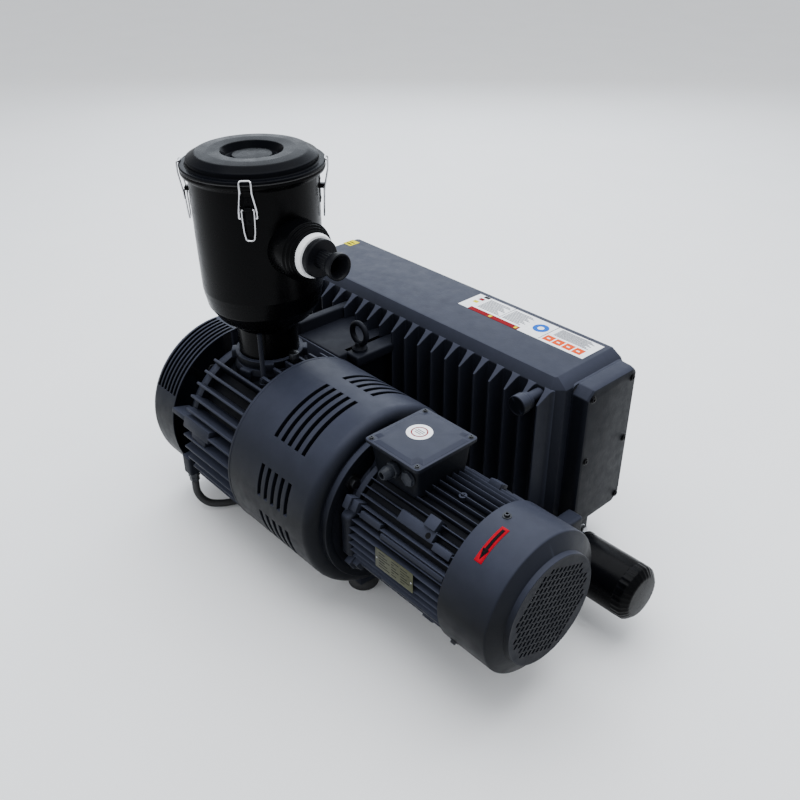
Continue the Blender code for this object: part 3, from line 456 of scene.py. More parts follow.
def add_hex(bm, point, direction, across, height, washer=None, spin=0.0):
    """A hex head with a chamfered crown, on a washer if one is given."""
    at = frame_at(point, direction, spin)
    corner = across / math.sqrt(3)
    base = 0.0
    if washer:
        disc = [(0.0, 0.0), (0.0, washer), (0.0016, washer, 0.0004), (0.0016, 0.0)]
        add_lathe(bm, disc, at, 32, False, 2)
        base = 0.0014
    top = base + height
    nut = [(base, 0.0), (base, corner), (top - height * 0.15, corner), (top, corner * 0.86), (top, 0.0)]
    add_lathe(bm, nut, at, 6, False, 1)


def add_cap_screw(bm, point, direction, radius, height, mat=0, socket=True):
    """A round head with a socket or a domed crown."""
    at = frame_at(point, direction)
    if socket:
        inner = radius * 0.5
        crown = [(height, radius, radius * 0.25), (height, inner), (height * 0.4, inner), (height * 0.4, 0.0)]
    else:
        crown = [(height * 0.5, radius, radius * 0.2), (height, radius * 0.45, radius * 0.3), (height, 0.0)]
    add_lathe(bm, [(0.0, radius)] + crown, at, 24, False, 2, mat)


def add_washer(bm, point, direction, radius, height, corner, segments=32):
    disc = [(0.0, 0.0), (0.0, radius), (height, radius, corner), (height, 0.0)]
    add_lathe(bm, disc, frame_at(point, direction), segments, False, 2)


def wrap_grid(bm, xs, angles, radius_at, skip=lambda x, a: False):
    """A skin around the shaft on a grid of x and angle lines; cells that skip() names are left out."""
    grid = {}

    def vert(i, j):
        if (i, j) not in grid:
            grid[i, j] = bm.verts.new(around(radius_at(xs[i]), angles[j], xs[i]))
        return grid[i, j]

    full = abs(angles[-1] - angles[0] - 360.0) < 1e-6
    columns = len(angles) - 1
    for i in range(len(xs) - 1):
        for j in range(columns):
            if skip((xs[i] + xs[i + 1]) / 2, (angles[j] + angles[j + 1]) / 2):
                continue
            k = 0 if full and j == columns - 1 else j + 1
            bm.faces.new((vert(i, j), vert(i, k), vert(i + 1, k), vert(i + 1, j)))


def circle(radius, count):
    turns = (2 * math.pi * i / count for i in range(count))
    return [(radius * math.cos(t), radius * math.sin(t)) for t in turns]


def rounded_rect(low, high, radius, steps=5):
    spots = ((low[0], low[1]), (high[0], low[1]), (high[0], high[1]), (low[0], high[1]))
    return [tuple(p) for p in filleted([(*spot, radius) for spot in spots], True, steps)]


def slot_hole(middle, a, b, radius, steps):
    """A four-cornered hole from its middle and its two half sides."""
    spots = (middle - a - b, middle + a - b, middle + a + b, middle - a + b)
    return [tuple(p) for p in filleted([(*spot, radius) for spot in spots], True, steps)]


def skin_rings(bm, rings):
    """Joins rings of corners into a closed skin."""
    made = [[bm.verts.new(corner) for corner in ring] for ring in rings]
    for a, b in zip(made, made[1:]):
        for i in range(len(a)):
            k = (i + 1) % len(a)
            bm.faces.new((a[i], a[k], b[k], b[i]))
    bm.faces.new(made[0])
    bm.faces.new(made[-1])


def lines_between(low, high, step, extra):
    """Even grid lines from low to high with extra ones put in."""
    count = round((high - low) / step)
    lines = [low + (high - low) * i / count for i in range(count + 1)]
    keep = [v for v in lines if all(abs(v - e) > step * 0.3 for e in extra) or v in (low, high)]
    return sorted(set(keep) | {e for e in extra if low < e < high})


def slot_edges(rows, half):
    return [row + side for row in rows for side in (-half, half)]


def slotted_skin(bm, xs, radius_at, rows, half, groups):
    """A skin around the shaft with rows of slots, left open in groups of angles."""
    def in_slot(x, degrees):
        in_row = any(abs(x - row) < half for row in rows)
        return in_row and any(a < (degrees if degrees >= a else degrees + 360) < b for a, b in groups)

    ends = [end for group in groups for end in group]
    wrap_grid(bm, xs, lines_between(-160.0, 200.0, 2.5, ends), radius_at, in_slot)


def paint_groove_shade(bm, inside, mat):
    """Paints shade into grooves: gives the faces whose middles pass the test another, darker material."""
    for face in bm.faces:
        if face.material_index == 0 and inside(face.calc_center_median()):
            face.material_index = mat


def piece(name, bm, materials, body=STATIC, nodes=(), angle=32.0, bevel=0.0, solid=None):
    """Turns a bmesh into a shown piece that rides on a body and stands for CAD nodes."""
    bmesh.ops.remove_doubles(bm, verts=bm.verts, dist=0.000004)
    bmesh.ops.recalc_face_normals(bm, faces=bm.faces)
    mesh = bpy.data.meshes.new(name)
    bm.to_mesh(mesh)
    bm.free()
    for mat in materials if isinstance(materials, (list, tuple)) else [materials]:
        mesh.materials.append(mat)
    obj = bpy.data.objects.new(name, mesh)
    bpy.context.scene.collection.objects.link(obj)
    obj.location = ORIGIN
    mesh.shade_smooth()
    if solid:
        wall = obj.modifiers.new("wall", "SOLIDIFY")
        wall.thickness, wall.offset = solid
        wall.use_even_offset = True
    if bevel:
        rounding = obj.modifiers.new("rounding", "BEVEL")
        rounding.width = bevel
        rounding.segments = 2
        rounding.limit_method = "ANGLE"
        rounding.angle_limit = math.radians(38)
        obj.modifiers.new("flat_faces", "WEIGHTED_NORMAL").keep_sharp = True
    else:
        mesh.set_sharp_from_angle(angle=math.radians(angle))
    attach(obj, body)
    if nodes:
        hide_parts(*nodes)


# ---------------------------------------------------------------- motor

COWL_R = 0.13
COWL_FACE_R = 0.1005
MOTOR_FIN_R = 0.1255
MOTOR_ROOT_R = 0.112
FLANGE_R = 0.156


def build_fan_cowl():
    bm = bmesh.new()
    outline = [
        (-0.0004, 0.098), (-0.0004, COWL_FACE_R, 0.0022), (-0.01, COWL_FACE_R + 0.0006, 0.0012),
        (-0.0225, COWL_R, 0.0045), (-0.1235, COWL_R, 0.0008), (-0.1235, COWL_R - 0.0018),
        (-0.0232, COWL_R - 0.0018, 0.003), (-0.0116, COWL_FACE_R - 0.001),
        (-0.0022, COWL_FACE_R - 0.0016), (-0.0022, 0.098),
    ]
    add_x_lathe(bm, outline, 144)
    row_turn, slant = math.radians(-23.6), math.radians(46.0)
    row = Vector((math.cos(row_turn), math.sin(row_turn)))
    column = Vector((math.cos(slant), math.sin(slant)))
    pitch, hole_length, hole_width = 0.0114, 0.009, 0.0056
    holes = []
    for i in range(-16, 17):
        for j in range(-16, 17):
            middle = row * (i * pitch) + column * (j * pitch)
            if middle.length > 0.0855:
                continue
            a, b = column * hole_length / 2, row * hole_width / 2
            holes.append(slot_hole(middle, a, b, 0.0011, 2))
    # The grille takes the darker copy of the cowl's own slate paint: painted shade on the cowl's front face.
    add_plate(bm, [circle(0.0983, 96)] + holes, 0.0018, facing_x(-0.0014), bevel=0.0002, mat=1, steps=1)
    piece("fan_cowl_shell", bm, [SHEET, DARK], nodes=["fan_cowl"], angle=28)

    screws = bmesh.new()
    for degrees in (89.0, -31.0, 209.0):
        at = around(COWL_R, degrees, -0.101)
        add_washer(screws, at, outward(degrees), 0.0078, 0.0012, 0.0005)
        add_cap_screw(screws, at + outward(degrees) * 0.0011, outward(degrees), 0.005, 0.0042)
    piece("fan_cowl_screws", screws, BLACKED)

    arrow = bmesh.new()
    low, high, middle = 48.6, 79.4, -0.0832
    steps = 28
    turns = [low + (high - low) * k / steps for k in range(steps + 1)]
    wrap_grid(arrow, [middle - 0.0075, middle + 0.0075], turns, lambda x: COWL_R + 0.0003)

    def half_width(degrees):
        """The arrow's half width: a head at the low end, then its shaft."""
        along = (degrees - low - 2.0) / (high - low - 4.0)
        if along < 0 or along > 1:
            return 0.0
        return 0.0064 * along / 0.32 if along < 0.32 else 0.0029

    turns = [low + 2.0 + (high - low - 4.0) * k / 40 for k in range(41)]
    for first, second in zip(turns, turns[1:]):
        a, b = half_width(first + 0.01), half_width(second - 0.01)
        spots = ((first, -a), (first, a), (second, b), (second, -b))
        corners = [around(COWL_R + 0.0006, turn, middle + wide) for turn, wide in spots]
        face = arrow.faces.new([arrow.verts.new(corner) for corner in corners])
        face.material_index = 1
    piece("direction_sticker", arrow, [INK_BRIGHT_RED, INK_BLACK], solid=(0.00025, 1.0))


def fin_outline(root_r, tip_r, count, root_half, tip_half, skip=lambda d: False, phase=0.0):
    """A round outline with tapering radial fins, in the plane across the shaft."""
    loop = []
    for i in range(count):
        degrees = phase + 360.0 * i / count
        if skip(degrees % 360.0):
            loop.append((root_r, degrees))
            continue
        root_turn = math.degrees(root_half / root_r)
        tip_turn = math.degrees(tip_half / tip_r)
        foot = math.degrees(root_half * 1.8 / root_r)
        loop += [
            (root_r, degrees - foot), (root_r + 0.0012, degrees - root_turn),
            (tip_r - 0.001, degrees - tip_turn), (tip_r, degrees - tip_turn * 0.45),
            (tip_r, degrees + tip_turn * 0.45), (tip_r - 0.001, degrees + tip_turn),
            (root_r + 0.0012, degrees + root_turn), (root_r, degrees + foot),
        ]
    return [(r * math.sin(math.radians(-d)), r * math.cos(math.radians(d)) * -1) for r, d in loop]


ACROSS = Matrix(((0, 0, 1, 0), (0, 1, 0, 0), (-1, 0, 0, 0), (0, 0, 0, 1)))


def across(x):
    """Stands a flat outline across the shaft at x; its first coordinate is down and its second is +Y."""
    return Matrix.Translation((x, 0.0, 0.0)) @ ACROSS


def add_pad(bm, x_low, x_high, degrees, half_width, inner_r, outer_r, bevel=0.0015):
    """A block that stands out of a casting at an angle around the shaft."""
    low, high = (x_low, -half_width, inner_r), (x_high, half_width, outer_r)
    add_box(bm, low, high, bevel, 2, clocked(degrees))


def build_motor_housing():
    bm = bmesh.new()
    outline = fin_outline(MOTOR_ROOT_R, MOTOR_FIN_R, 48, 0.0017, 0.001, phase=3.5)
    add_plate(bm, [outline, circle(0.1, 96)], 0.238, across(-0.229), bevel=0.0003, steps=1)
    for quarter in QUARTERS:
        side = 1 if quarter in (45.0, 225.0) else -1
        add_pad(bm, -0.256, -0.174, quarter, 0.0105, 0.108, 0.1262)
        add_pad(bm, -0.2014, -0.176, quarter + 8.5 * side, 0.011, 0.11, 0.133)
        add_pad(bm, -0.169, -0.13, quarter - 5.0 * side, 0.0068, 0.108, 0.1268)
        add_pad(bm, -0.2735, -0.127, quarter - 22.5 * side, 0.0042, 0.108, 0.1262, 0.001)
        add_pad(bm, -0.33, -0.279, quarter - 17.5 * side, 0.006, 0.108, 0.1262, 0.001)
        hole = frame_at(around(0.1262, quarter - 1.0, -0.186), outward(quarter))
        # Painted shade: a black disc on the pad stands in for the dark inside of a tapped hole.
        hole_shade_disc = [(-0.001, 0.0), (0.0004, 0.0), (0.0004, 0.005), (-0.001, 0.0058)]
        add_lathe(bm, hole_shade_disc, hole, 24, False, 1, 1)
    eye = frame_at(around(0.1215, 86.0, -0.1903), outward(86.0))
    ring = [(-0.006, 0.0036), (-0.006, 0.0072), (0.0022, 0.0072, 0.001), (0.0022, 0.0036, 0.0006)]
    add_lathe(bm, ring, eye, 40)
    # Painted shade: the floors between the motor fins take the darker slate.
    paint_groove_shade(bm, lambda p: math.hypot(p.y, p.z) < MOTOR_ROOT_R + 0.0015, 2)
    piece("motor_housing_body", bm, [CAST, INK_BLACK, DARK], nodes=["motor_housing"],
          angle=30)


def build_motor_flange():
    bm = bmesh.new()
    outline = [
        (-0.3495, 0.1), (-0.3495, 0.1195, 0.002), (-0.36, 0.1225, 0.003), (-0.366, 0.112, 0.002),
        (-0.3735, 0.112, 0.003), (-0.3735, 0.14, 0.002), (-0.3723, 0.1425),
        (-0.3723, FLANGE_R, 0.0016), (-0.3846, FLANGE_R, 0.001), (-0.3846, 0.036), (-0.35, 0.036),
    ]
    add_x_lathe(bm, outline, 120)
    for middle in (0.0, 90.0, 180.0, 270.0):
        add_box(bm, (-0.3725, -0.06, 0.09), (-0.342, 0.06, 0.1255), 0.006, 3, clocked(middle),
                taper=(0.75, 0.72))
    for degrees in (31.0, 149.0, 211.0, 329.0):
        add_pad(bm, -0.364, -0.349, degrees, 0.012, 0.1, 0.1385, 0.0016)
        add_pad(bm, -0.35, -0.335, degrees, 0.01, 0.1, 0.133, 0.0016)
    piece("motor_flange_body", bm, CAST, nodes=["motor_flange"], angle=30)
    bolts = bmesh.new()
    for degrees in QUARTERS:
        add_hex(bolts, around(0.129, degrees, -0.3728), X_AXIS, 0.0185, 0.0095, washer=0.0135, spin=degrees)
    piece("flange_bolts", bolts, BLACKED)


def build_nameplate():
    bm = bmesh.new()
    low, high = Vector((-0.274, 0.0, -0.011)), Vector((-0.182, 0.0, 0.03))
    face = Matrix(((1, 0, 0, 0), (0, 0, -1, -0.1268), (0, 1, 0, 0), (0, 0, 0, 1)))
    rect = rounded_rect((low.x, low.z), (high.x, high.z), 0.002)
    add_plate(bm, [rect], 0.0012, face, bevel=0.0003)
    for x in (low.x + 0.004, high.x - 0.004):
        add_cap_screw(bm, (x, -0.1273, (low.z + high.z) / 2), -Y_AXIS, 0.0017, 0.0011, 1, socket=False)
    columns = (
        (low.x + 0.009, low.x + 0.036), (low.x + 0.04, low.x + 0.058), (low.x + 0.062, high.x - 0.008),
    )
    for k in range(6):
        z = low.z + 0.0065 + 0.0056 * k
        for x_start, x_end in columns:
            end = x_end - 0.006 * ((k * 7 + int(x_start * 1000)) % 3)
            add_box(bm, (x_start, -0.12755, z - 0.0007), (end, -0.1272, z + 0.0007), 0.0001, 1, None, 2)
    piece("nameplate", bm, [PLATE, ZINC, INK_BLACK])


def build_terminal_box():
    low, high = local_box("terminal_box")
    lid_low, lid_high = local_box("terminal_lid")
    centre = (low + high) / 2
    half_x, half_y = (high.x - low.x) / 2, (high.y - low.y) / 2
    bm = bmesh.new()
    base, rim = 0.108, lid_low.z - 0.0002
    rings = []
    for z, grow in ((base, -0.006), (0.128, -0.0035), (rim - 0.006, 0.0), (rim - 0.005, 0.003), (rim, 0.003)):
        near, far = centre.x - half_x - grow, centre.x + half_x + grow
        rect = rounded_rect((near, -half_y - grow), (far, half_y + grow), 0.011)
        rings.append([(x, y, z) for x, y in rect])
    skin_rings(bm, rings)
    piece("terminal_box_body", bm, CAST, nodes=["terminal_box"], bevel=0.0006)

    lid = bmesh.new()
    raise_from = lid_high.z - 0.0042
    flat = Matrix.Translation((0.0, 0.0, (lid_low.z + raise_from) / 2))
    outline = rounded_rect((lid_low.x, lid_low.y), (lid_high.x, lid_high.y), 0.008)
    add_plate(lid, [outline], raise_from - lid_low.z, flat, bevel=0.0011)
    x0, x1, y0, y1 = lid_low.x + 0.005, lid_high.x - 0.005, lid_low.y + 0.005, lid_high.y - 0.005
    notch = 0.0135

    def notched(shrink):
        a, b, c, d, n = x0 + shrink, x1 - shrink, y0 + shrink, y1 - shrink, notch
        points = [(a, c + n), (a + n, c + n), (a + n, c), (b - n, c), (b - n, c + n), (b, c + n),
                  (b, d - n), (b - n, d - n), (b - n, d), (a + n, d), (a + n, d - n), (a, d - n)]
        rounds = [0.001, 0.006, 0.001] * 4
        return [tuple(p) for p in filleted([(*p, r) for p, r in zip(points, rounds)], True, 3)]

    loops = [notched(0.0), notched(0.0002), notched(0.0068), notched(0.008)]
    heights = [raise_from - 0.0004, raise_from + 0.0003, lid_high.z - 0.0002, lid_high.z]
    skin_rings(lid, [[(x, y, z) for x, y in loop] for loop, z in zip(loops, heights)])
    piece("terminal_lid_panel", lid, SHEET, nodes=["terminal_lid"], angle=24)

    screws = bmesh.new()
    for x in (lid_low.x + 0.0092, lid_high.x - 0.0092):
        for y in (lid_low.y + 0.0088, lid_high.y - 0.0088):
            add_washer(screws, (x, y, raise_from), Z_AXIS, 0.0052, 0.0008, 0.0003, 28)
            add_cap_screw(screws, (x, y, raise_from + 0.0006), Z_AXIS, 0.0036, 0.0026)
    piece("terminal_lid_screws", screws, BLACKED)

    sticker = bmesh.new()
    middle = (lid_low.x + lid_high.x) / 2 - 0.01
    on_lid = Matrix.Translation((middle, 0.005, lid_high.z + 0.0002))
    add_plate(sticker, [circle(0.023, 64)], 0.0004, on_lid, bevel=0.0001, steps=1)
    above = Matrix.Translation((middle, 0.005, lid_high.z + 0.0005))
    add_plate(sticker, [circle(0.015, 48), circle(0.0126, 48)], 0.0002, above, 0.00005, 1, 1)
    for k, (reach, mat) in enumerate(((0.0085, 2), (0.01, 2), (0.007, 2))):
        y = 0.005 + 0.0042 * (1 - k)
        add_box(sticker, (middle - reach, y - 0.0008, lid_high.z + 0.0004),
                (middle + reach, y + 0.0008, lid_high.z + 0.0006), 0.00005, 1, None, mat)
    piece("terminal_sticker", sticker, [INK_WHITE, INK_RED, INK_GREY])

    gland = bmesh.new()
    g_low, g_high = local_box("cable_gland")
    gx, _, gz = middle_of(g_low, g_high)
    wall_y = g_high.y
    add_hex(gland, (gx, wall_y, gz), -Y_AXIS, 0.025, 0.01, spin=12)
    at = frame_at((gx, wall_y - 0.0095, gz), -Y_AXIS)
    dome = [(0.0, 0.006), (0.0, 0.0112), (0.009, 0.0118, 0.002), (0.0165, 0.0098, 0.0035),
            (0.0205, 0.0078, 0.001), (0.0205, 0.006)]
    add_lathe(gland, dome, at, 48, flute=lambda t: 1.0 + 0.012 * math.cos(12 * t))
    piece("cable_gland_body", gland, GREY_PLASTIC, nodes=["cable_gland"])
    plug = bmesh.new()
    add_hex(plug, (gx + 0.033, wall_y + 0.0002, gz - 0.002), -Y_AXIS, 0.0235, 0.005, washer=0.014, spin=20)
    piece("terminal_blank_plug", plug, GREY_PLASTIC)


# ---------------------------------------------------------------- coupling housing and pump

HOUSING_R = 0.182
HOUSING_LEFT, HOUSING_RIGHT = -0.636, -0.385
SLOT_X = (-0.535, -0.515, -0.495, -0.475, -0.455)
SLOT_HALF = 0.0046
SLOT_GROUPS = ((42.6, 86.7), (5.0, 25.5), (-26.0, -6.0), (98.0, 142.0), (154.0, 186.0), (-81.5, -38.5))


def build_coupling_housing():
    def radius_at(x):
        """The shoulder curls in towards the motor flange."""
        into = x - (HOUSING_RIGHT - 0.022)
        if into <= 0:
            return HOUSING_R
        t = into / 0.022
        return FLANGE_R + (HOUSING_R - FLANGE_R) * math.sqrt(max(0.0, 1 - t ** 2.2))

    shoulder = [HOUSING_RIGHT - 0.022 * (1 - math.sin(math.pi / 2 * k / 9)) for k in range(10)]
    xs = sorted(set([HOUSING_LEFT, -0.63, -0.59] + slot_edges(SLOT_X, SLOT_HALF) + shoulder))
    bm = bmesh.new()
    slotted_skin(bm, xs, radius_at, SLOT_X, SLOT_HALF, SLOT_GROUPS)
    piece("coupling_housing_shell", bm, SHEET, nodes=["coupling_housing"],
          solid=(0.011, -1.0), bevel=0.0009)
    trim = bmesh.new()
    lip = [(-0.6362, 0.168), (-0.6362, 0.1826, 0.001), (-0.63, 0.1826, 0.001), (-0.63, 0.1805),
           (-0.63, 0.168)]
    add_x_lathe(trim, lip, 144, steps=2)
    seat = [(-0.397, 0.101), (-0.397, 0.17), (-0.385, 0.1555, 0.001), (-0.385, 0.101)]
    add_x_lathe(trim, seat, 120, steps=2)
    foot_low, foot_high = local_box("foot_1")
    add_box(trim, (foot_low.x + 0.006, foot_low.y + 0.004, -0.1868),
            (foot_high.x - 0.006, 0.03, -0.168), 0.003)
    piece("coupling_housing_trim", trim, CAST)


def build_pump_cylinder():
    bm = bmesh.new()
    left, right = -0.799, -0.637
    outline = fin_outline(0.15, 0.1815, 40, 0.0042, 0.0026, lambda d: 63.0 < d < 117.0, 6.0)
    add_plate(bm, [outline, circle(0.1, 64)], right - left, across((left + right) / 2), bevel=0.0009, steps=2)
    for x0, x1, r in ((left - 0.0008, -0.786, 0.1655), (-0.648, -0.6372, 0.168)):
        add_x_lathe(bm, [(x0, 0.1), (x0, r, 0.001), (x1, r, 0.001), (x1, 0.1)], 120, steps=2)
    for k in range(6):
        add_pad(bm, -0.662, right - 0.001, 67.5 + 9.0 * k, 0.003, 0.145, 0.1812)
    boss = [(0.12, 0.0), (0.12, 0.072), (0.148, 0.07, 0.004), (0.1592, 0.0655, 0.002), (0.1592, 0.0)]
    add_lathe(bm, boss, INLET, 72, False)
    for degrees in (12.0, 192.0, 102.0, 282.0):
        add_box(bm, (0.04, -0.014, 0.12), (0.0745, 0.014, 0.159), 0.004, 3, about_inlet(degrees))
    pad = clocked(PAD_ANGLE)
    add_box(bm, (-0.8, -0.015, 0.14), (-0.71, 0.01, 0.1815), 0.002, 2, pad)
    add_box(bm, (-0.776, -0.033, 0.14), (-0.725, -0.015, 0.176), 0.003, 2, pad)
    # Blocks that fill the gap between cylinder and separator, in the darker slate: painted shade in the gap.
    add_box(bm, (-0.79, 0.105, -0.06), (-0.65, 0.2535, 0.15), 0.004, 3, None, 1)
    add_box(bm, (-0.7985, 0.106, -0.06), (-0.778, 0.2535, 0.176), 0.004, 3, None, 1)
    add_box(bm, (-0.668, 0.128, 0.128), (-0.618, 0.2535, 0.15), 0.004, 3, None, 1)
    foot_low, foot_high = local_box("foot_2")
    add_box(bm, (foot_low.x + 0.004, foot_low.y + 0.003, -0.1868),
            (foot_high.x - 0.004, 0.028, -0.15), 0.004, 3)
    strut = frame_at((-0.665, -0.065, 0.12), Z_AXIS)
    add_lathe(bm, [(0.0, 0.0), (0.0, 0.01), (0.0312, 0.0088, 0.0015), (0.0312, 0.0)], strut, 32, False)
    # Painted shade: the floors between the cylinder fins take the darker slate.
    paint_groove_shade(bm, lambda p: math.hypot(p.y, p.z) < 0.1525 and p.x < -0.65, 1)
    piece("pump_cylinder_casting", bm, [CAST, DARK], nodes=["pump_cylinder"], angle=30)


def build_end_plates():
    bm = bmesh.new()
    rear = [
        (-0.8003, 0.09), (-0.8003, 0.156, 0.001), (-0.813, 0.156, 0.003), (-0.818, 0.15, 0.002),
        (-0.829, 0.148, 0.004), (-0.832, 0.07, 0.004), (-0.859, 0.06, 0.003), (-0.859, 0.02),
    ]
    add_x_lathe(bm, rear, 120, closed=False)
    for degrees in THIRDS:
        add_pad(bm, -0.86, -0.852, degrees, 0.012, 0.045, 0.1705, 0.002)
    arm = clocked(PAD_ANGLE)
    add_box(bm, (-0.849, -0.0045, 0.14), (-0.788, 0.0055, 0.18), 0.0015, 2, arm)
    add_box(bm, (-0.847, -0.168, -0.1055), (-0.819, -0.115, -0.06), 0.004, 3)
    piece("rear_plate_casting", bm, CAST, nodes=["rear_plate"])
    bolts = bmesh.new()
    for k in range(8):
        degrees = 11.0 + 45.0 * k
        add_hex(bolts, around(0.1395, degrees, -0.8292), -X_AXIS, 0.0145, 0.0075, washer=0.0105, spin=7 * k)
    piece("rear_plate_bolts", bolts, BLACKED)


COVER_R = 0.175
COVER_NEAR, COVER_FAR = -0.85, -0.94
COVER_SLOTS = tuple(-0.8585 - 0.0118 * k for k in range(6))
COVER_SLOT_HALF = 0.0037
COVER_GROUPS = ((24.5, 87.5), (92.5, 155.5))


def build_rear_cover():
    corner = 0.02

    def radius_at(x):
        into = (COVER_FAR + corner) - x
        if into <= 0:
            return COVER_R
        t = min(1.0, into / corner)
        return COVER_R - corner + corner * math.sqrt(max(0.0, 1 - t * t))

    edges = slot_edges(COVER_SLOTS, COVER_SLOT_HALF)
    bend = [COVER_FAR + corner * (1 - math.sin(math.pi / 2 * k / 8)) for k in range(9)]
    xs = sorted(set([COVER_NEAR] + edges + [b for b in bend if all(abs(b - e) > 0.0005 for e in edges)]))
    bm = bmesh.new()
    slotted_skin(bm, xs, radius_at, COVER_SLOTS, COVER_SLOT_HALF, COVER_GROUPS)
    piece("rear_fan_cover_shell", bm, SHEET, nodes=["rear_fan_cover"],
          solid=(0.0026, -1.0), bevel=0.0005)
    end = bmesh.new()
    holes = []
    for ring, count in ((0.036, 9), (0.054, 14)):
        for k in range(count):
            turn = 2 * math.pi * k / count
            spoke = Vector((math.cos(turn), math.sin(turn)))
            side = Vector((-spoke.y, spoke.x))
            holes.append(slot_hole(spoke * ring, spoke * 0.007, side * 0.0045, 0.003, 3))
    disc = circle(COVER_R - corner + 0.0005, 120)
    add_plate(end, [disc] + holes, 0.0026, across(COVER_FAR + 0.0013), 0.0003, steps=1)
    piece("rear_fan_cover_end", end, SHEET)
    screws = bmesh.new()
    for degrees in THIRDS:
        add_cap_screw(screws, around(COVER_R - 0.0004, degrees, -0.8535), outward(degrees), 0.0032, 0.0026)
    piece("rear_fan_cover_screws", screws, ZINC)


# ---------------------------------------------------------------- inlet and canister

PORT_AT = (0.0, 0.421)
LATCH_ANGLES = (-40.0, -130.0, 50.0, 140.0)


def build_inlet():
    bm = bmesh.new()
    ring = [(0.179, 0.0595), (0.179, 0.0655, 0.001), (0.1776, 0.0672, 0.001), (0.166, 0.0672, 0.0015),
            (0.1645, 0.0645, 0.001), (0.1596, 0.0645), (0.1596, 0.0595)]
    add_lathe(bm, ring, INLET, 96)
    for degrees in (52.0, 142.0, 232.0, 322.0):
        add_box(bm, (0.056, -0.012, 0.16), (0.0745, 0.012, 0.1788), 0.003, 3, about_inlet(degrees))
    piece("inlet_flange_ring", bm, CAST, nodes=["inlet_flange"])
    rod = bmesh.new()
    add_lathe(rod, [(0.0, 0.0), (0.0, 0.0046), (0.1036, 0.0046, 0.0008), (0.1036, 0.0)],
              frame_at((-0.665, -0.065, 0.152), Z_AXIS), 24, False)
    add_hex(rod, (-0.665, -0.065, 0.1545), Z_AXIS, 0.0125, 0.006, washer=0.0085)
    piece("filter_support_stud", rod, DARK, nodes=["filter_support_rod"])
    ballast = bmesh.new()
    at = frame_at((-0.6525, 0.0, 0.184), Z_AXIS)
    knob = [(-0.022, 0.0), (-0.022, 0.0085), (0.0, 0.0085), (0.002, 0.0098, 0.001), (0.014, 0.0098, 0.002),
            (0.016, 0.0)]
    add_lathe(ballast, knob, at, 48, False, flute=lambda t: 1.0 + 0.02 * math.cos(16 * t))
    piece("gas_ballast_knob", ballast, BLACKED, nodes=["gas_ballast_valve"])


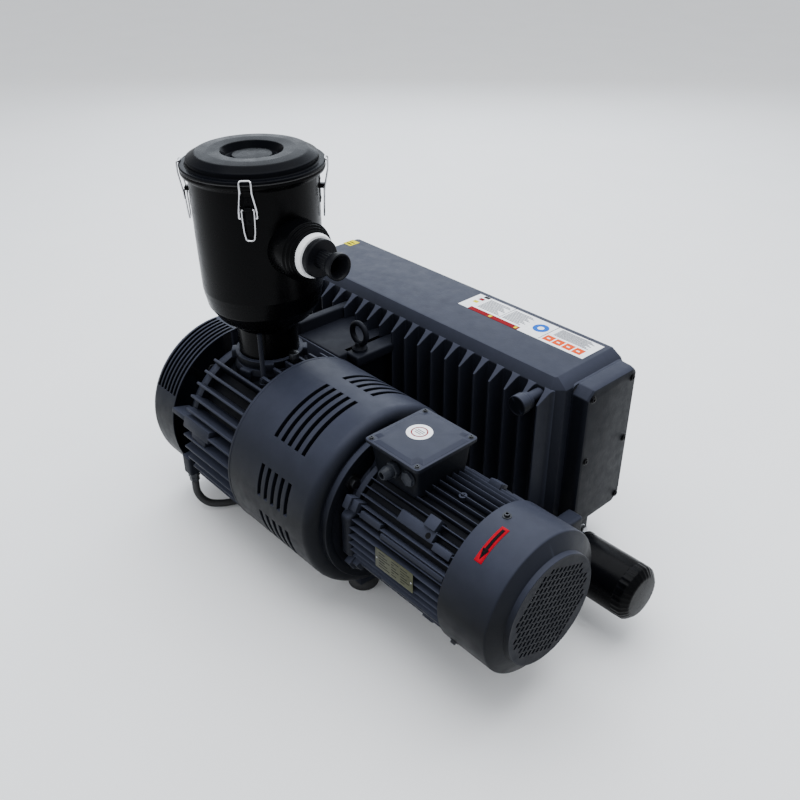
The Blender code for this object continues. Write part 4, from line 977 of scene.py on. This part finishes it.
def build_canister():
    bm = bmesh.new()
    outline = [
        (0.5435, 0.112), (0.5435, 0.1272, 0.0012), (0.54, 0.1285, 0.0015), (0.536, 0.1272, 0.0015),
        (0.5325, 0.118, 0.002), (0.528, 0.1163, 0.002), (0.42, 0.1155), (0.321, 0.1135, 0.01),
        (0.286, 0.107, 0.012), (0.26, 0.09, 0.01), (0.243, 0.064, 0.006), (0.235, 0.0588, 0.003),
        (0.18, 0.0585, 0.001), (0.1706, 0.0585), (0.1706, 0.03), (0.26, 0.03), (0.26, 0.08),
        (0.279, 0.101), (0.31, 0.112),
    ]
    add_lathe(bm, outline, INLET, 160, steps=6)
    start = INLET_X + 0.1
    collar = [
        (start, 0.03), (start, 0.053, 0.001), (-0.5895, 0.053, 0.0012), (-0.588, 0.05, 0.001),
        (-0.5825, 0.05, 0.0012), (-0.5812, 0.0465, 0.001), (-0.5765, 0.0465, 0.001),
        (-0.5752, 0.043, 0.001), (-0.5722, 0.043, 0.001), (-0.5722, 0.025), (start, 0.025),
    ]
    add_x_lathe(bm, collar, 96, centre=PORT_AT, steps=3)
    piece("canister_shell", bm, GLOSS, nodes=["canister_body"], angle=30)

    brackets = bmesh.new()
    for degrees in LATCH_ANGLES:
        at = about_inlet(degrees)
        add_box(brackets, (0.1145, -0.0095, 0.474), (0.1172, 0.0095, 0.522), 0.0008, 2, at)
        add_box(brackets, (0.115, -0.0072, 0.499), (0.1252, 0.0072, 0.507), 0.0025, 3, at)
        outside = at.to_3x3() @ X_AXIS
        for z in (0.48, 0.5155):
            add_cap_screw(brackets, at @ Vector((0.117, 0.0, z)), outside, 0.0024, 0.0012, socket=False)
    piece("latch_brackets", brackets, GLOSS)

    lid = bmesh.new()
    top = local_box("canister_lid")[1].z
    outline = [
        (0.5465, 0.112), (0.5465, 0.1285, 0.0012), (0.55, 0.1293, 0.0012), (0.5512, 0.127, 0.001),
        (0.5512, 0.119, 0.002), (0.553, 0.1168, 0.002), (0.5605, 0.1168, 0.003),
        (top - 0.0085, 0.1125, 0.011), (top - 0.0012, 0.1, 0.011), (top, 0.078, 0.01),
        (top - 0.0012, 0.056, 0.003), (top - 0.015, 0.048, 0.004), (top - 0.0152, 0.04, 0.002),
        (top - 0.0092, 0.0352, 0.002), (top - 0.0086, 0.0),
    ]
    add_lathe(lid, outline, INLET, 160, False, 6)
    under = [(0.5466, 0.112), (0.5575, 0.112, 0.003), (0.5655, 0.1), (0.5655, 0.06),
             (0.551, 0.052), (0.551, 0.0)]
    add_lathe(lid, under, INLET, 96, False, 3)
    piece("canister_lid_pressing", lid, LID_PAINT, "lid", ["canister_lid"], angle=30)

    gasket = bmesh.new()
    seal = [(0.5462, 0.1125), (0.5462, 0.1282, 0.0008), (0.5438, 0.1282, 0.0008), (0.5438, 0.1125)]
    add_lathe(gasket, seal, INLET, 128, steps=3)
    piece("lid_gasket_ring", gasket, RUBBER, nodes=["lid_gasket"])

    tape = bmesh.new()
    low, high = local_box("port_seal")
    turns = 6
    band = []
    for k in range(turns + 1):
        x = low.x + (high.x - low.x) * k / turns
        swell = 0.0008 * math.sin(math.pi * k / turns) + (0.0004 if k % 2 else 0.0)
        band.append((x, 0.0394 - 0.0022 * k / turns + swell, 0.0008))
    add_x_lathe(tape, [(low.x, 0.022)] + band + [(high.x, 0.022)], 96, centre=PORT_AT, steps=2,
                flute=lambda t: 1.0 + 0.004 * math.sin(3 * t) + 0.003 * math.sin(7 * t + 1.0))
    piece("port_seal_wrap", tape, TAPE, nodes=["port_seal"])

    port = bmesh.new()
    disc = [(-0.5597, 0.013), (-0.5597, 0.0338, 0.001), (-0.548, 0.0345, 0.0015), (-0.5462, 0.0325, 0.001),
            (-0.5462, 0.013)]
    add_x_lathe(port, disc, 80, centre=PORT_AT, steps=3)
    stem = [(-0.548, 0.0128), (-0.548, 0.016), (-0.514, 0.016), (-0.514, 0.0128)]
    add_x_lathe(port, stem, 120, centre=PORT_AT,
                flute=lambda t: 1.0 + 0.035 * max(-0.4, math.cos(20 * t)))
    mouth = [(-0.515, 0.013), (-0.515, 0.022, 0.003), (-0.508, 0.0239, 0.001), (-0.4985, 0.024, 0.0014),
             (-0.4972, 0.0216, 0.0008), (-0.5005, 0.0192, 0.002), (-0.514, 0.013)]
    add_x_lathe(port, mouth, 80, centre=PORT_AT, steps=3)
    piece("port_adapter_body", port, PLASTIC, nodes=["port_adapter"])


LATCH_WIRES = (
    ("lever", 0.503, 0.0045, (
        (0.0, -0.0078, 0.0), (0.0, -0.0105, 0.0), (0.0, -0.0105, -0.012), (-0.0015, -0.0093, -0.04),
        (-0.0022, -0.0066, -0.0555),
    )),
    ("bail", 0.488, 0.003, (
        (0.0, -0.0123, 0.0), (0.0, -0.0155, 0.0), (0.0008, -0.015, 0.012), (0.0078, -0.0098, 0.046),
        (0.0078, -0.0098, 0.064), (0.0035, -0.0078, 0.0655),
    )),
)


def build_latches():
    """Each wire is half a route about its own pivot, mirrored across the latch."""
    for i, degrees in enumerate(LATCH_ANGLES, start=1):
        for part, pivot_z, corner, half in LATCH_WIRES:
            pivot = Vector((0.124, 0.0, pivot_z))
            route = [*half, *((x, -y, z) for x, y, z in reversed(half))]
            bm = bmesh.new()
            add_tube(bm, [about_inlet(degrees) @ (pivot + p) for p in bent(route, corner)], 0.00145)
            piece(f"latch_{part}_wire_{i}", bm, WIRE, f"latch_{part}_{i}_body", [f"latch_{part}_{i}"])


# ---------------------------------------------------------------- separator

BOX_X = (-0.992, -0.2118)
BOX_Y = (0.253, 0.446)
BOX_Z = (-0.115, 0.215)
SHELF_Z = 0.1965
FIN_PITCH = 0.0385
FIN_FIRST = -0.2355
FIN_COUNT = 19
FIN_TIP = (0.2215, 0.1745)
FIN_STATIONS = ((0.256, 0.0125), (0.2532, 0.01), (0.25, 0.0076), (0.246, 0.0062), (0.238, 0.0047),
                (0.229, 0.0032), (0.2235, 0.0023), (0.222, 0.0018), (0.2215, 0.001))


def box_plan(front, right, back, left, chamfer):
    """The separator's outline from above, drawn in by so much on each side."""
    x0, x1 = BOX_X[0] + left, BOX_X[1] - right
    y0, y1 = BOX_Y[0] + front, BOX_Y[1] - back
    points = [(x0 + chamfer, y0), (x1 - chamfer, y0), (x1, y0 + chamfer), (x1, y1 - chamfer * 0.4),
              (x1 - chamfer * 0.4, y1), (x0 + chamfer, y1), (x0, y1 - chamfer), (x0, y0 + chamfer)]
    return filleted([(*p, 0.0022) for p in points], True, 3)


def add_box_fin(bm, middle):
    """One upright fin: broad where it leaves the wall, narrow and lower at its outer edge."""
    bottom, soft = -0.11, 0.0007
    rings = []
    for y, half in FIN_STATIONS:
        fall = max(0.0, min(1.0, (0.253 - y) / (0.253 - FIN_TIP[0])))
        top = SHELF_Z + 0.0002 - (SHELF_Z - FIN_TIP[1]) * fall
        rings.append([
            (middle - half, y, bottom), (middle - half, y, top - soft), (middle - half + soft, y, top),
            (middle + half - soft, y, top), (middle + half, y, top - soft), (middle + half, y, bottom),
        ])
    skin_rings(bm, rings)


def build_separator():
    bm = bmesh.new()
    low, high = BOX_Z
    levels = [
        (low, (0.004, 0.004, 0.004, 0.004, 0.016)),
        (low + 0.004, (0.0, 0.0, 0.0, 0.0, 0.019)),
        (SHELF_Z - 0.0012, (0.0, 0.0, 0.0, 0.0, 0.019)),
        (SHELF_Z + 0.0004, (0.0008, 0.001, 0.0005, 0.0006, 0.0182)),
        (high - 0.0008, (0.016, 0.0215, 0.0088, 0.011, 0.0046)),
        (high, (0.0182, 0.024, 0.0108, 0.013, 0.004)),
    ]
    skin_rings(bm, [[(p.x, p.y, z) for p in box_plan(*inset)] for z, inset in levels])
    for k in range(FIN_COUNT):
        add_box_fin(bm, FIN_FIRST - FIN_PITCH * k)
    rim_low, rim_high = local_box("exhaust_end_cover")
    rim_x = (BOX_X[1] - 0.004, rim_low.x - 0.0006)
    corners = (rim_low.y, rim_low.z), (rim_high.y, rim_high.z)
    rim = facing_x(sum(rim_x) / 2)
    add_plate(bm, [rounded_rect(*corners, 0.012)], rim_x[1] - rim_x[0], rim, bevel=0.0006)
    piece("separator_housing", bm, CAST, nodes=["exhaust_box"], angle=26)

    sump = bmesh.new()
    add_box(sump, (BOX_X[0] + 0.03, 0.262, -0.165), (-0.1862, 0.362, -0.105), 0.01, 4)
    outlet = frame_at((BOX_X[0] + 0.01, 0.345, 0.12), -X_AXIS)
    outlet_ring = [(0.0, 0.03), (0.0, 0.052), (0.012, 0.048, 0.003), (0.0219, 0.045, 0.0015),
                   (0.0219, 0.03, 0.001)]
    add_lathe(sump, outlet_ring, outlet, 80, steps=3)
    # Painted shade: a black-inked disc and wall stand in for the dark inside of the outlet's bore.
    add_lathe(sump, [(0.0, 0.0), (0.0105, 0.0), (0.0105, 0.03)], outlet, 48, False, 1, 1)
    piece("separator_sump", sump, [CAST, INK_BLACK])

    cover = bmesh.new()
    low, high = local_box("exhaust_end_cover")
    _, _, centre_z = middle_of(low, high)
    corner = 0.0165
    stations = (
        (low.x - 0.0004, 0.0), (low.x + 0.003, 0.0), (high.x - 0.012, 0.0008), (high.x - 0.0045, 0.0022),
        (high.x - 0.0014, 0.0042), (high.x, 0.0078),
    )
    rings = []
    for x, inset in stations:
        y0, y1, z0, z1 = low.y + inset, high.y - inset, low.z + inset, high.z - inset
        cuts = [(y0 + corner, z0), (y1 - corner, z0), (y1, z0 + corner), (y1, z1 - corner * 0.55),
                (y1 - corner * 0.55, z1), (y0 + corner, z1), (y0, z1 - corner), (y0, z0 + corner)]
        rings.append([(x, p.x, p.y) for p in filleted([(*c, 0.005) for c in cuts], True, 4)])
    skin_rings(cover, rings)
    piece("separator_end_cover", cover, CAST, nodes=["exhaust_end_cover"], angle=26)

    seal = bmesh.new()
    g_low, g_high = local_box("end_cover_gasket")
    inner = rounded_rect((g_low.y + 0.01, g_low.z + 0.01), (g_high.y - 0.01, g_high.z - 0.01), 0.008)
    outer = rounded_rect((g_low.y - 0.006, g_low.z - 0.006), (g_high.y + 0.006, g_high.z + 0.006), 0.014)
    add_plate(seal, [outer, inner], 0.0014, facing_x((g_low.x + g_high.x) / 2), bevel=0.0002, steps=1)
    piece("separator_gasket", seal, RUBBER, nodes=["end_cover_gasket"])

    screws = bmesh.new()
    for y in (low.y + 0.016, high.y - 0.016):
        for z in (low.z + 0.02, centre_z, high.z - 0.02):
            add_washer(screws, (high.x - 0.0002, y, z), X_AXIS, 0.0078, 0.0008, 0.0003)
            add_cap_screw(screws, (high.x + 0.0004, y, z), X_AXIS, 0.0058, 0.0026)
    piece("separator_cover_screws", screws, GLOSS)

    plug = bmesh.new()
    p_low, p_high = local_box("oil_fill_plug")
    p_x, _, p_z = middle_of(p_low, p_high)
    at = frame_at((p_x, p_high.y, p_z), -Y_AXIS)
    length = p_high.y - p_low.y
    radius, back = (p_high.z - p_low.z) / 2, length - 0.0305
    outline = [(0.0, 0.0), (0.0, 0.0118), (back, 0.0118), (back, radius - 0.003, 0.001),
               (back + 0.01, radius - 0.002, 0.001), (back + 0.012, radius - 0.0004, 0.001),
               (length - 0.001, radius - 0.0004, 0.0012), (length, radius - 0.0024, 0.0006),
               (length - 0.0006, radius - 0.0034, 0.0004), (length - 0.0006, 0.0)]
    add_lathe(plug, outline, at, 96, False, 3)
    piece("oil_fill_cap", plug, SHEET, nodes=["oil_fill_plug"])


def build_labels():
    """Generic labels on top of the separator: blocks and bars in place of print."""
    bm = bmesh.new()
    top = BOX_Z[1]

    def patch(x0, x1, y0, y1, mat, level=1):
        add_box(bm, (x0, y0, top - 0.0002), (x1, y1, top + 0.0003 * level), 0.00004, 1, None, mat)

    white, orange, red, blue, black, yellow, grey = range(7)
    patch(-0.565, -0.245, 0.357, 0.425, white)
    for k in range(4):
        x = -0.348 + 0.0235 * k
        patch(x, x + 0.02, 0.364, 0.385, orange, 2)
        patch(x + 0.0065, x + 0.0135, 0.3715, 0.3755, white, 3)
    patch(-0.537, -0.405, 0.356, 0.3685, red, 2)
    patch(-0.483, -0.476, 0.358, 0.366, yellow, 3)
    patch(-0.415, -0.409, 0.358, 0.366, yellow, 3)
    patch(-0.548, -0.534, 0.416, 0.424, black, 2)
    patch(-0.55, -0.538, 0.402, 0.411, red, 2)
    patch(-0.552, -0.54, 0.386, 0.395, yellow, 2)
    for k in range(9):
        y = 0.392 + 0.0034 * k
        patch(-0.342, -0.26 - 0.006 * (k % 3), y, y + 0.0017, grey, 2)
    for k in range(10):
        y = 0.376 + 0.0044 * k
        patch(-0.528, -0.47 - 0.005 * (k % 4), y, y + 0.0019, grey, 2)
        patch(-0.46, -0.408 - 0.006 * ((k + 1) % 3), y, y + 0.0019, grey, 2)
    patch(-0.3535, -0.3522, 0.36, 0.425, grey, 2)
    patch(-0.4655, -0.4645, 0.372, 0.425, grey, 2)
    ring = Matrix.Translation((-0.376, 0.396, top + 0.0004))
    add_plate(bm, [circle(0.0165, 48), circle(0.007, 32)], 0.0004, ring, 0.00005, blue, 1)
    patch(-0.983, -0.957, 0.392, 0.422, yellow)
    patch(-0.978, -0.962, 0.398, 0.402, black, 2)
    patch(-0.978, -0.962, 0.408, 0.411, black, 2)
    inks = [INK_WHITE, INK_ORANGE, INK_RED, INK_BLUE, INK_BLACK, INK_YELLOW, INK_GREY]
    piece("separator_labels", bm, inks, angle=10)


def build_oil_filter():
    bm = bmesh.new()
    low, high = local_box("oil_filter")
    _, y, z = middle_of(low, high)
    r = (high.z - low.z) / 2
    x = low.x
    bead = [
        (x, 0.011), (x, r - 0.004), (x + 0.002, r, 0.001), (x + 0.006, r, 0.001),
        (x + 0.008, r - 0.0018, 0.001), (x + 0.012, r - 0.0012), (x + 0.012, 0.011),
    ]
    add_x_lathe(bm, bead, 96, centre=(y, z), steps=2)
    can = [
        (x + 0.01, 0.02), (x + 0.01, r - 0.0012), (high.x - 0.03, r - 0.0012, 0.001),
        (high.x - 0.028, r - 0.003), (high.x - 0.028, 0.02),
    ]
    add_x_lathe(bm, can, 96, centre=(y, z), steps=2)
    end = [
        (high.x - 0.03, 0.02), (high.x - 0.03, r - 0.0016), (high.x - 0.012, r - 0.0022, 0.008),
        (high.x - 0.0008, r - 0.014, 0.008), (high.x, 0.0),
    ]
    add_x_lathe(bm, end, 240, False, 5, centre=(y, z),
                flute=lambda t: 1.0 + 0.01 * max(-0.5, math.cos(30 * t)))
    piece("oil_filter_can", bm, GLOSS, nodes=["oil_filter"], angle=24)

    head = bmesh.new()
    h_low, h_high = local_box("oil_filter_head")
    add_box(head, (h_low.x, h_low.y + 0.016, h_low.z + 0.012),
            (h_low.x + 0.036, h_high.y, h_high.z - 0.006), 0.007, 4)
    neck = [
        (h_low.x + 0.02, 0.0), (h_low.x + 0.02, 0.04, 0.004), (h_low.x + 0.04, 0.043, 0.003),
        (h_high.x - 0.012, 0.043, 0.002), (h_high.x - 0.01, 0.0455, 0.001),
        (h_high.x - 0.0004, 0.0455, 0.001), (h_high.x - 0.0004, 0.0),
    ]
    add_x_lathe(head, neck, 96, False, 3, centre=(y, z))
    piece("oil_filter_bracket", head, CAST, nodes=["oil_filter_head"])
    drain = bmesh.new()
    d_low, d_high = local_box("oil_drain_plug")
    _, d_y, d_z = middle_of(d_low, d_high)
    add_hex(drain, (d_low.x, d_y, d_z), X_AXIS, 0.018, 0.0095, washer=0.0118)
    piece("oil_drain_screw", drain, ZINC, nodes=["oil_drain_plug"])


def build_lifting_eye():
    bm = bmesh.new()
    low, high = local_box("lifting_eye")
    x, y, _ = middle_of(low, high)
    at = frame_at((x, y, low.z), Z_AXIS)
    shank = [(0.0, 0.0), (0.0, 0.016), (0.005, 0.016, 0.001), (0.009, 0.0105, 0.004),
             (0.016, 0.008, 0.003), (0.02, 0.0)]
    add_lathe(bm, shank, at, 48, False)
    ring_r, centre_z = (high.x - low.x) / 2 - 0.0058, high.z - (high.x - low.x) / 2
    turns = [2 * math.pi * k / 48 for k in range(48)]
    route = [Vector((x + ring_r * math.cos(t), y, centre_z + ring_r * math.sin(t))) for t in turns]
    add_tube(bm, route, 0.0058, cyclic=True, sides=5)
    piece("lifting_eye_bolt", bm, DARK, nodes=["lifting_eye"])


def build_oil_line():
    fitting = bmesh.new()
    low, high = local_box("oil_line_fitting")
    x, y, _ = middle_of(low, high)
    add_hex(fitting, (x, y, high.z), -Z_AXIS, 0.021, 0.011, washer=0.012)
    add_hex(fitting, (x, y, high.z - 0.013), -Z_AXIS, 0.0185, 0.0105)
    piece("oil_line_nuts", fitting, BLACKED, nodes=["oil_line_fitting"])
    route = [
        (-0.835, -0.153, -0.1303), (-0.835, -0.153, -0.165), (-0.82, -0.14, -0.19),
        (-0.797, -0.11, -0.1935), (-0.752, 0.01, -0.1935), (-0.735, 0.1, -0.1935),
        (-0.72, 0.185, -0.193), (-0.713, 0.232, -0.16), (-0.712, 0.246, -0.147),
        (-0.712, 0.2617, -0.147),
    ]
    bm = bmesh.new()
    add_tube(bm, bent(route, 0.016, 6), 0.0081, sides=5)
    piece("oil_line_pipe", bm, RUBBER, nodes=["oil_line"])


def build_feet():
    for i in range(1, 5):
        low, high = local_box(f"foot_{i}")
        x, y, _ = middle_of(low, high)
        r = (high.x - low.x) / 2
        height = high.z - low.z
        bm = bmesh.new()
        outline = [
            (0.0, 0.0), (0.0, r - 0.0015, 0.001), (0.003, r, 0.0015), (height * 0.55, r - 0.0015, 0.002),
            (height - 0.001, r - 0.0055, 0.002), (height, r - 0.008), (height, 0.0),
        ]
        add_lathe(bm, outline, frame_at((x, y, low.z), Z_AXIS), 72, False, 3)
        piece(f"foot_pad_{i}", bm, RUBBER, nodes=[f"foot_{i}"])


# ---------------------------------------------------------------- hidden and turning pieces

CAD_FINISH = (
    (CAST, ("motor_end_shield",)),
    (COPPER, ("motor_stator",)),
    (IRON, ("motor_rotor", "motor_coupling_hub", "pump_coupling_hub", "pump_rotor")),
    (PLASTIC, ("motor_fan", "coupling_fan", "rear_fan")),
    (ZINC, ("drive_end_bearing", "fan_end_bearing")),
    (RUBBER, ("coupling_element",)),
    (DARK, ("front_plate",)),
    (CARBON, ("vane_1", "vane_2", "vane_3")),
    (ALLOY, ("inlet_valve_plate",)),
    (PAPER, ("filter_cartridge", "separator_filter_1", "separator_filter_2")),
)


def finish_cad_nodes():
    """Materials for the CAD nodes that are shown as they are."""
    for mat, names in CAD_FINISH:
        for name in names:
            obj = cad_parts[name]
            obj.data.materials.clear()
            obj.data.materials.append(mat)


# ---------------------------------------------------------------- stage

def build_stage():
    bpy.ops.mesh.primitive_plane_add(size=40.0, location=(0.0, 0.0, -0.0002))
    floor = bpy.context.object
    floor.name = "floor"
    mat, nodes, links, shader = tree("floor_paint")
    cloud = noise_node(nodes, links, 3.0, 3.0)
    feed(nodes, links, cloud, ((0.3, 0.93), (0.7, 0.95)), shader.inputs["Base Color"])
    shader.inputs["Roughness"].default_value = 0.9
    shader.inputs["Specular IOR Level"].default_value = 0.1
    floor.data.materials.append(mat)

    world = bpy.data.worlds.new("studio")
    bpy.context.scene.world = world
    world.use_nodes = True
    background = world.node_tree.nodes["Background"]
    background.inputs["Color"].default_value = (0.93, 0.96, 1.0, 1.0)
    background.inputs["Strength"].default_value = 1.0

    target = Vector((0.0, 0.0, 0.35))
    for name, place, size, energy, colour in (
        ("overhead", (-0.1, 0.3, 3.0), (3.2, 3.2), 120.0, (0.93, 0.96, 1.0)),
        ("back", (-2.2, 2.2, 2.1), (3.6, 2.6), 80.0, (0.82, 0.9, 1.0)),
        ("strip", (-0.9, -2.6, 1.2), (0.25, 1.6), 6.0, (0.95, 0.97, 1.0)),
    ):
        light = bpy.data.lights.new(name, "AREA")
        light.shape = "RECTANGLE"
        light.size, light.size_y = size
        light.energy = energy
        light.color = colour
        lamp = bpy.data.objects.new(name, light)
        lamp.location = place
        lamp.rotation_euler = (Vector(place) - target).to_track_quat("Z", "Y").to_euler()
        bpy.context.scene.collection.objects.link(lamp)


def build_camera():
    """The view of the pump: above and to the right of the motor's fan end."""
    azimuth, elevation, roll = math.radians(47.8223), math.radians(31.8502), math.radians(-0.264)
    level = math.cos(elevation)
    away = Vector((math.sin(azimuth) * level, -math.cos(azimuth) * level, math.sin(elevation)))
    side = Vector((math.cos(azimuth), math.sin(azimuth), 0.0))
    up = away.cross(side)
    right = side * math.cos(roll) + up * math.sin(roll)
    upward = up * math.cos(roll) - side * math.sin(roll)
    turn = Matrix((right, upward, away)).transposed()
    lens = bpy.data.cameras.new("camera")
    lens.sensor_width = 36.0
    lens.lens = 40.14
    lens.clip_end = 100.0
    camera = bpy.data.objects.new("camera", lens)
    camera.matrix_world = Matrix.Translation(ORIGIN + Vector((0.5925, -0.8549, 1.019))) @ turn.to_4x4()
    bpy.context.scene.collection.objects.link(camera)
    bpy.context.scene.camera = camera


for build in (
    build_camera, build_fan_cowl, build_motor_housing, build_motor_flange, build_nameplate,
    build_terminal_box, build_coupling_housing, build_pump_cylinder, build_end_plates,
    build_rear_cover, build_inlet, build_canister, build_latches, build_separator, build_labels,
    build_oil_filter, build_lifting_eye, build_oil_line, build_feet, finish_cad_nodes, build_stage,
):
    build()
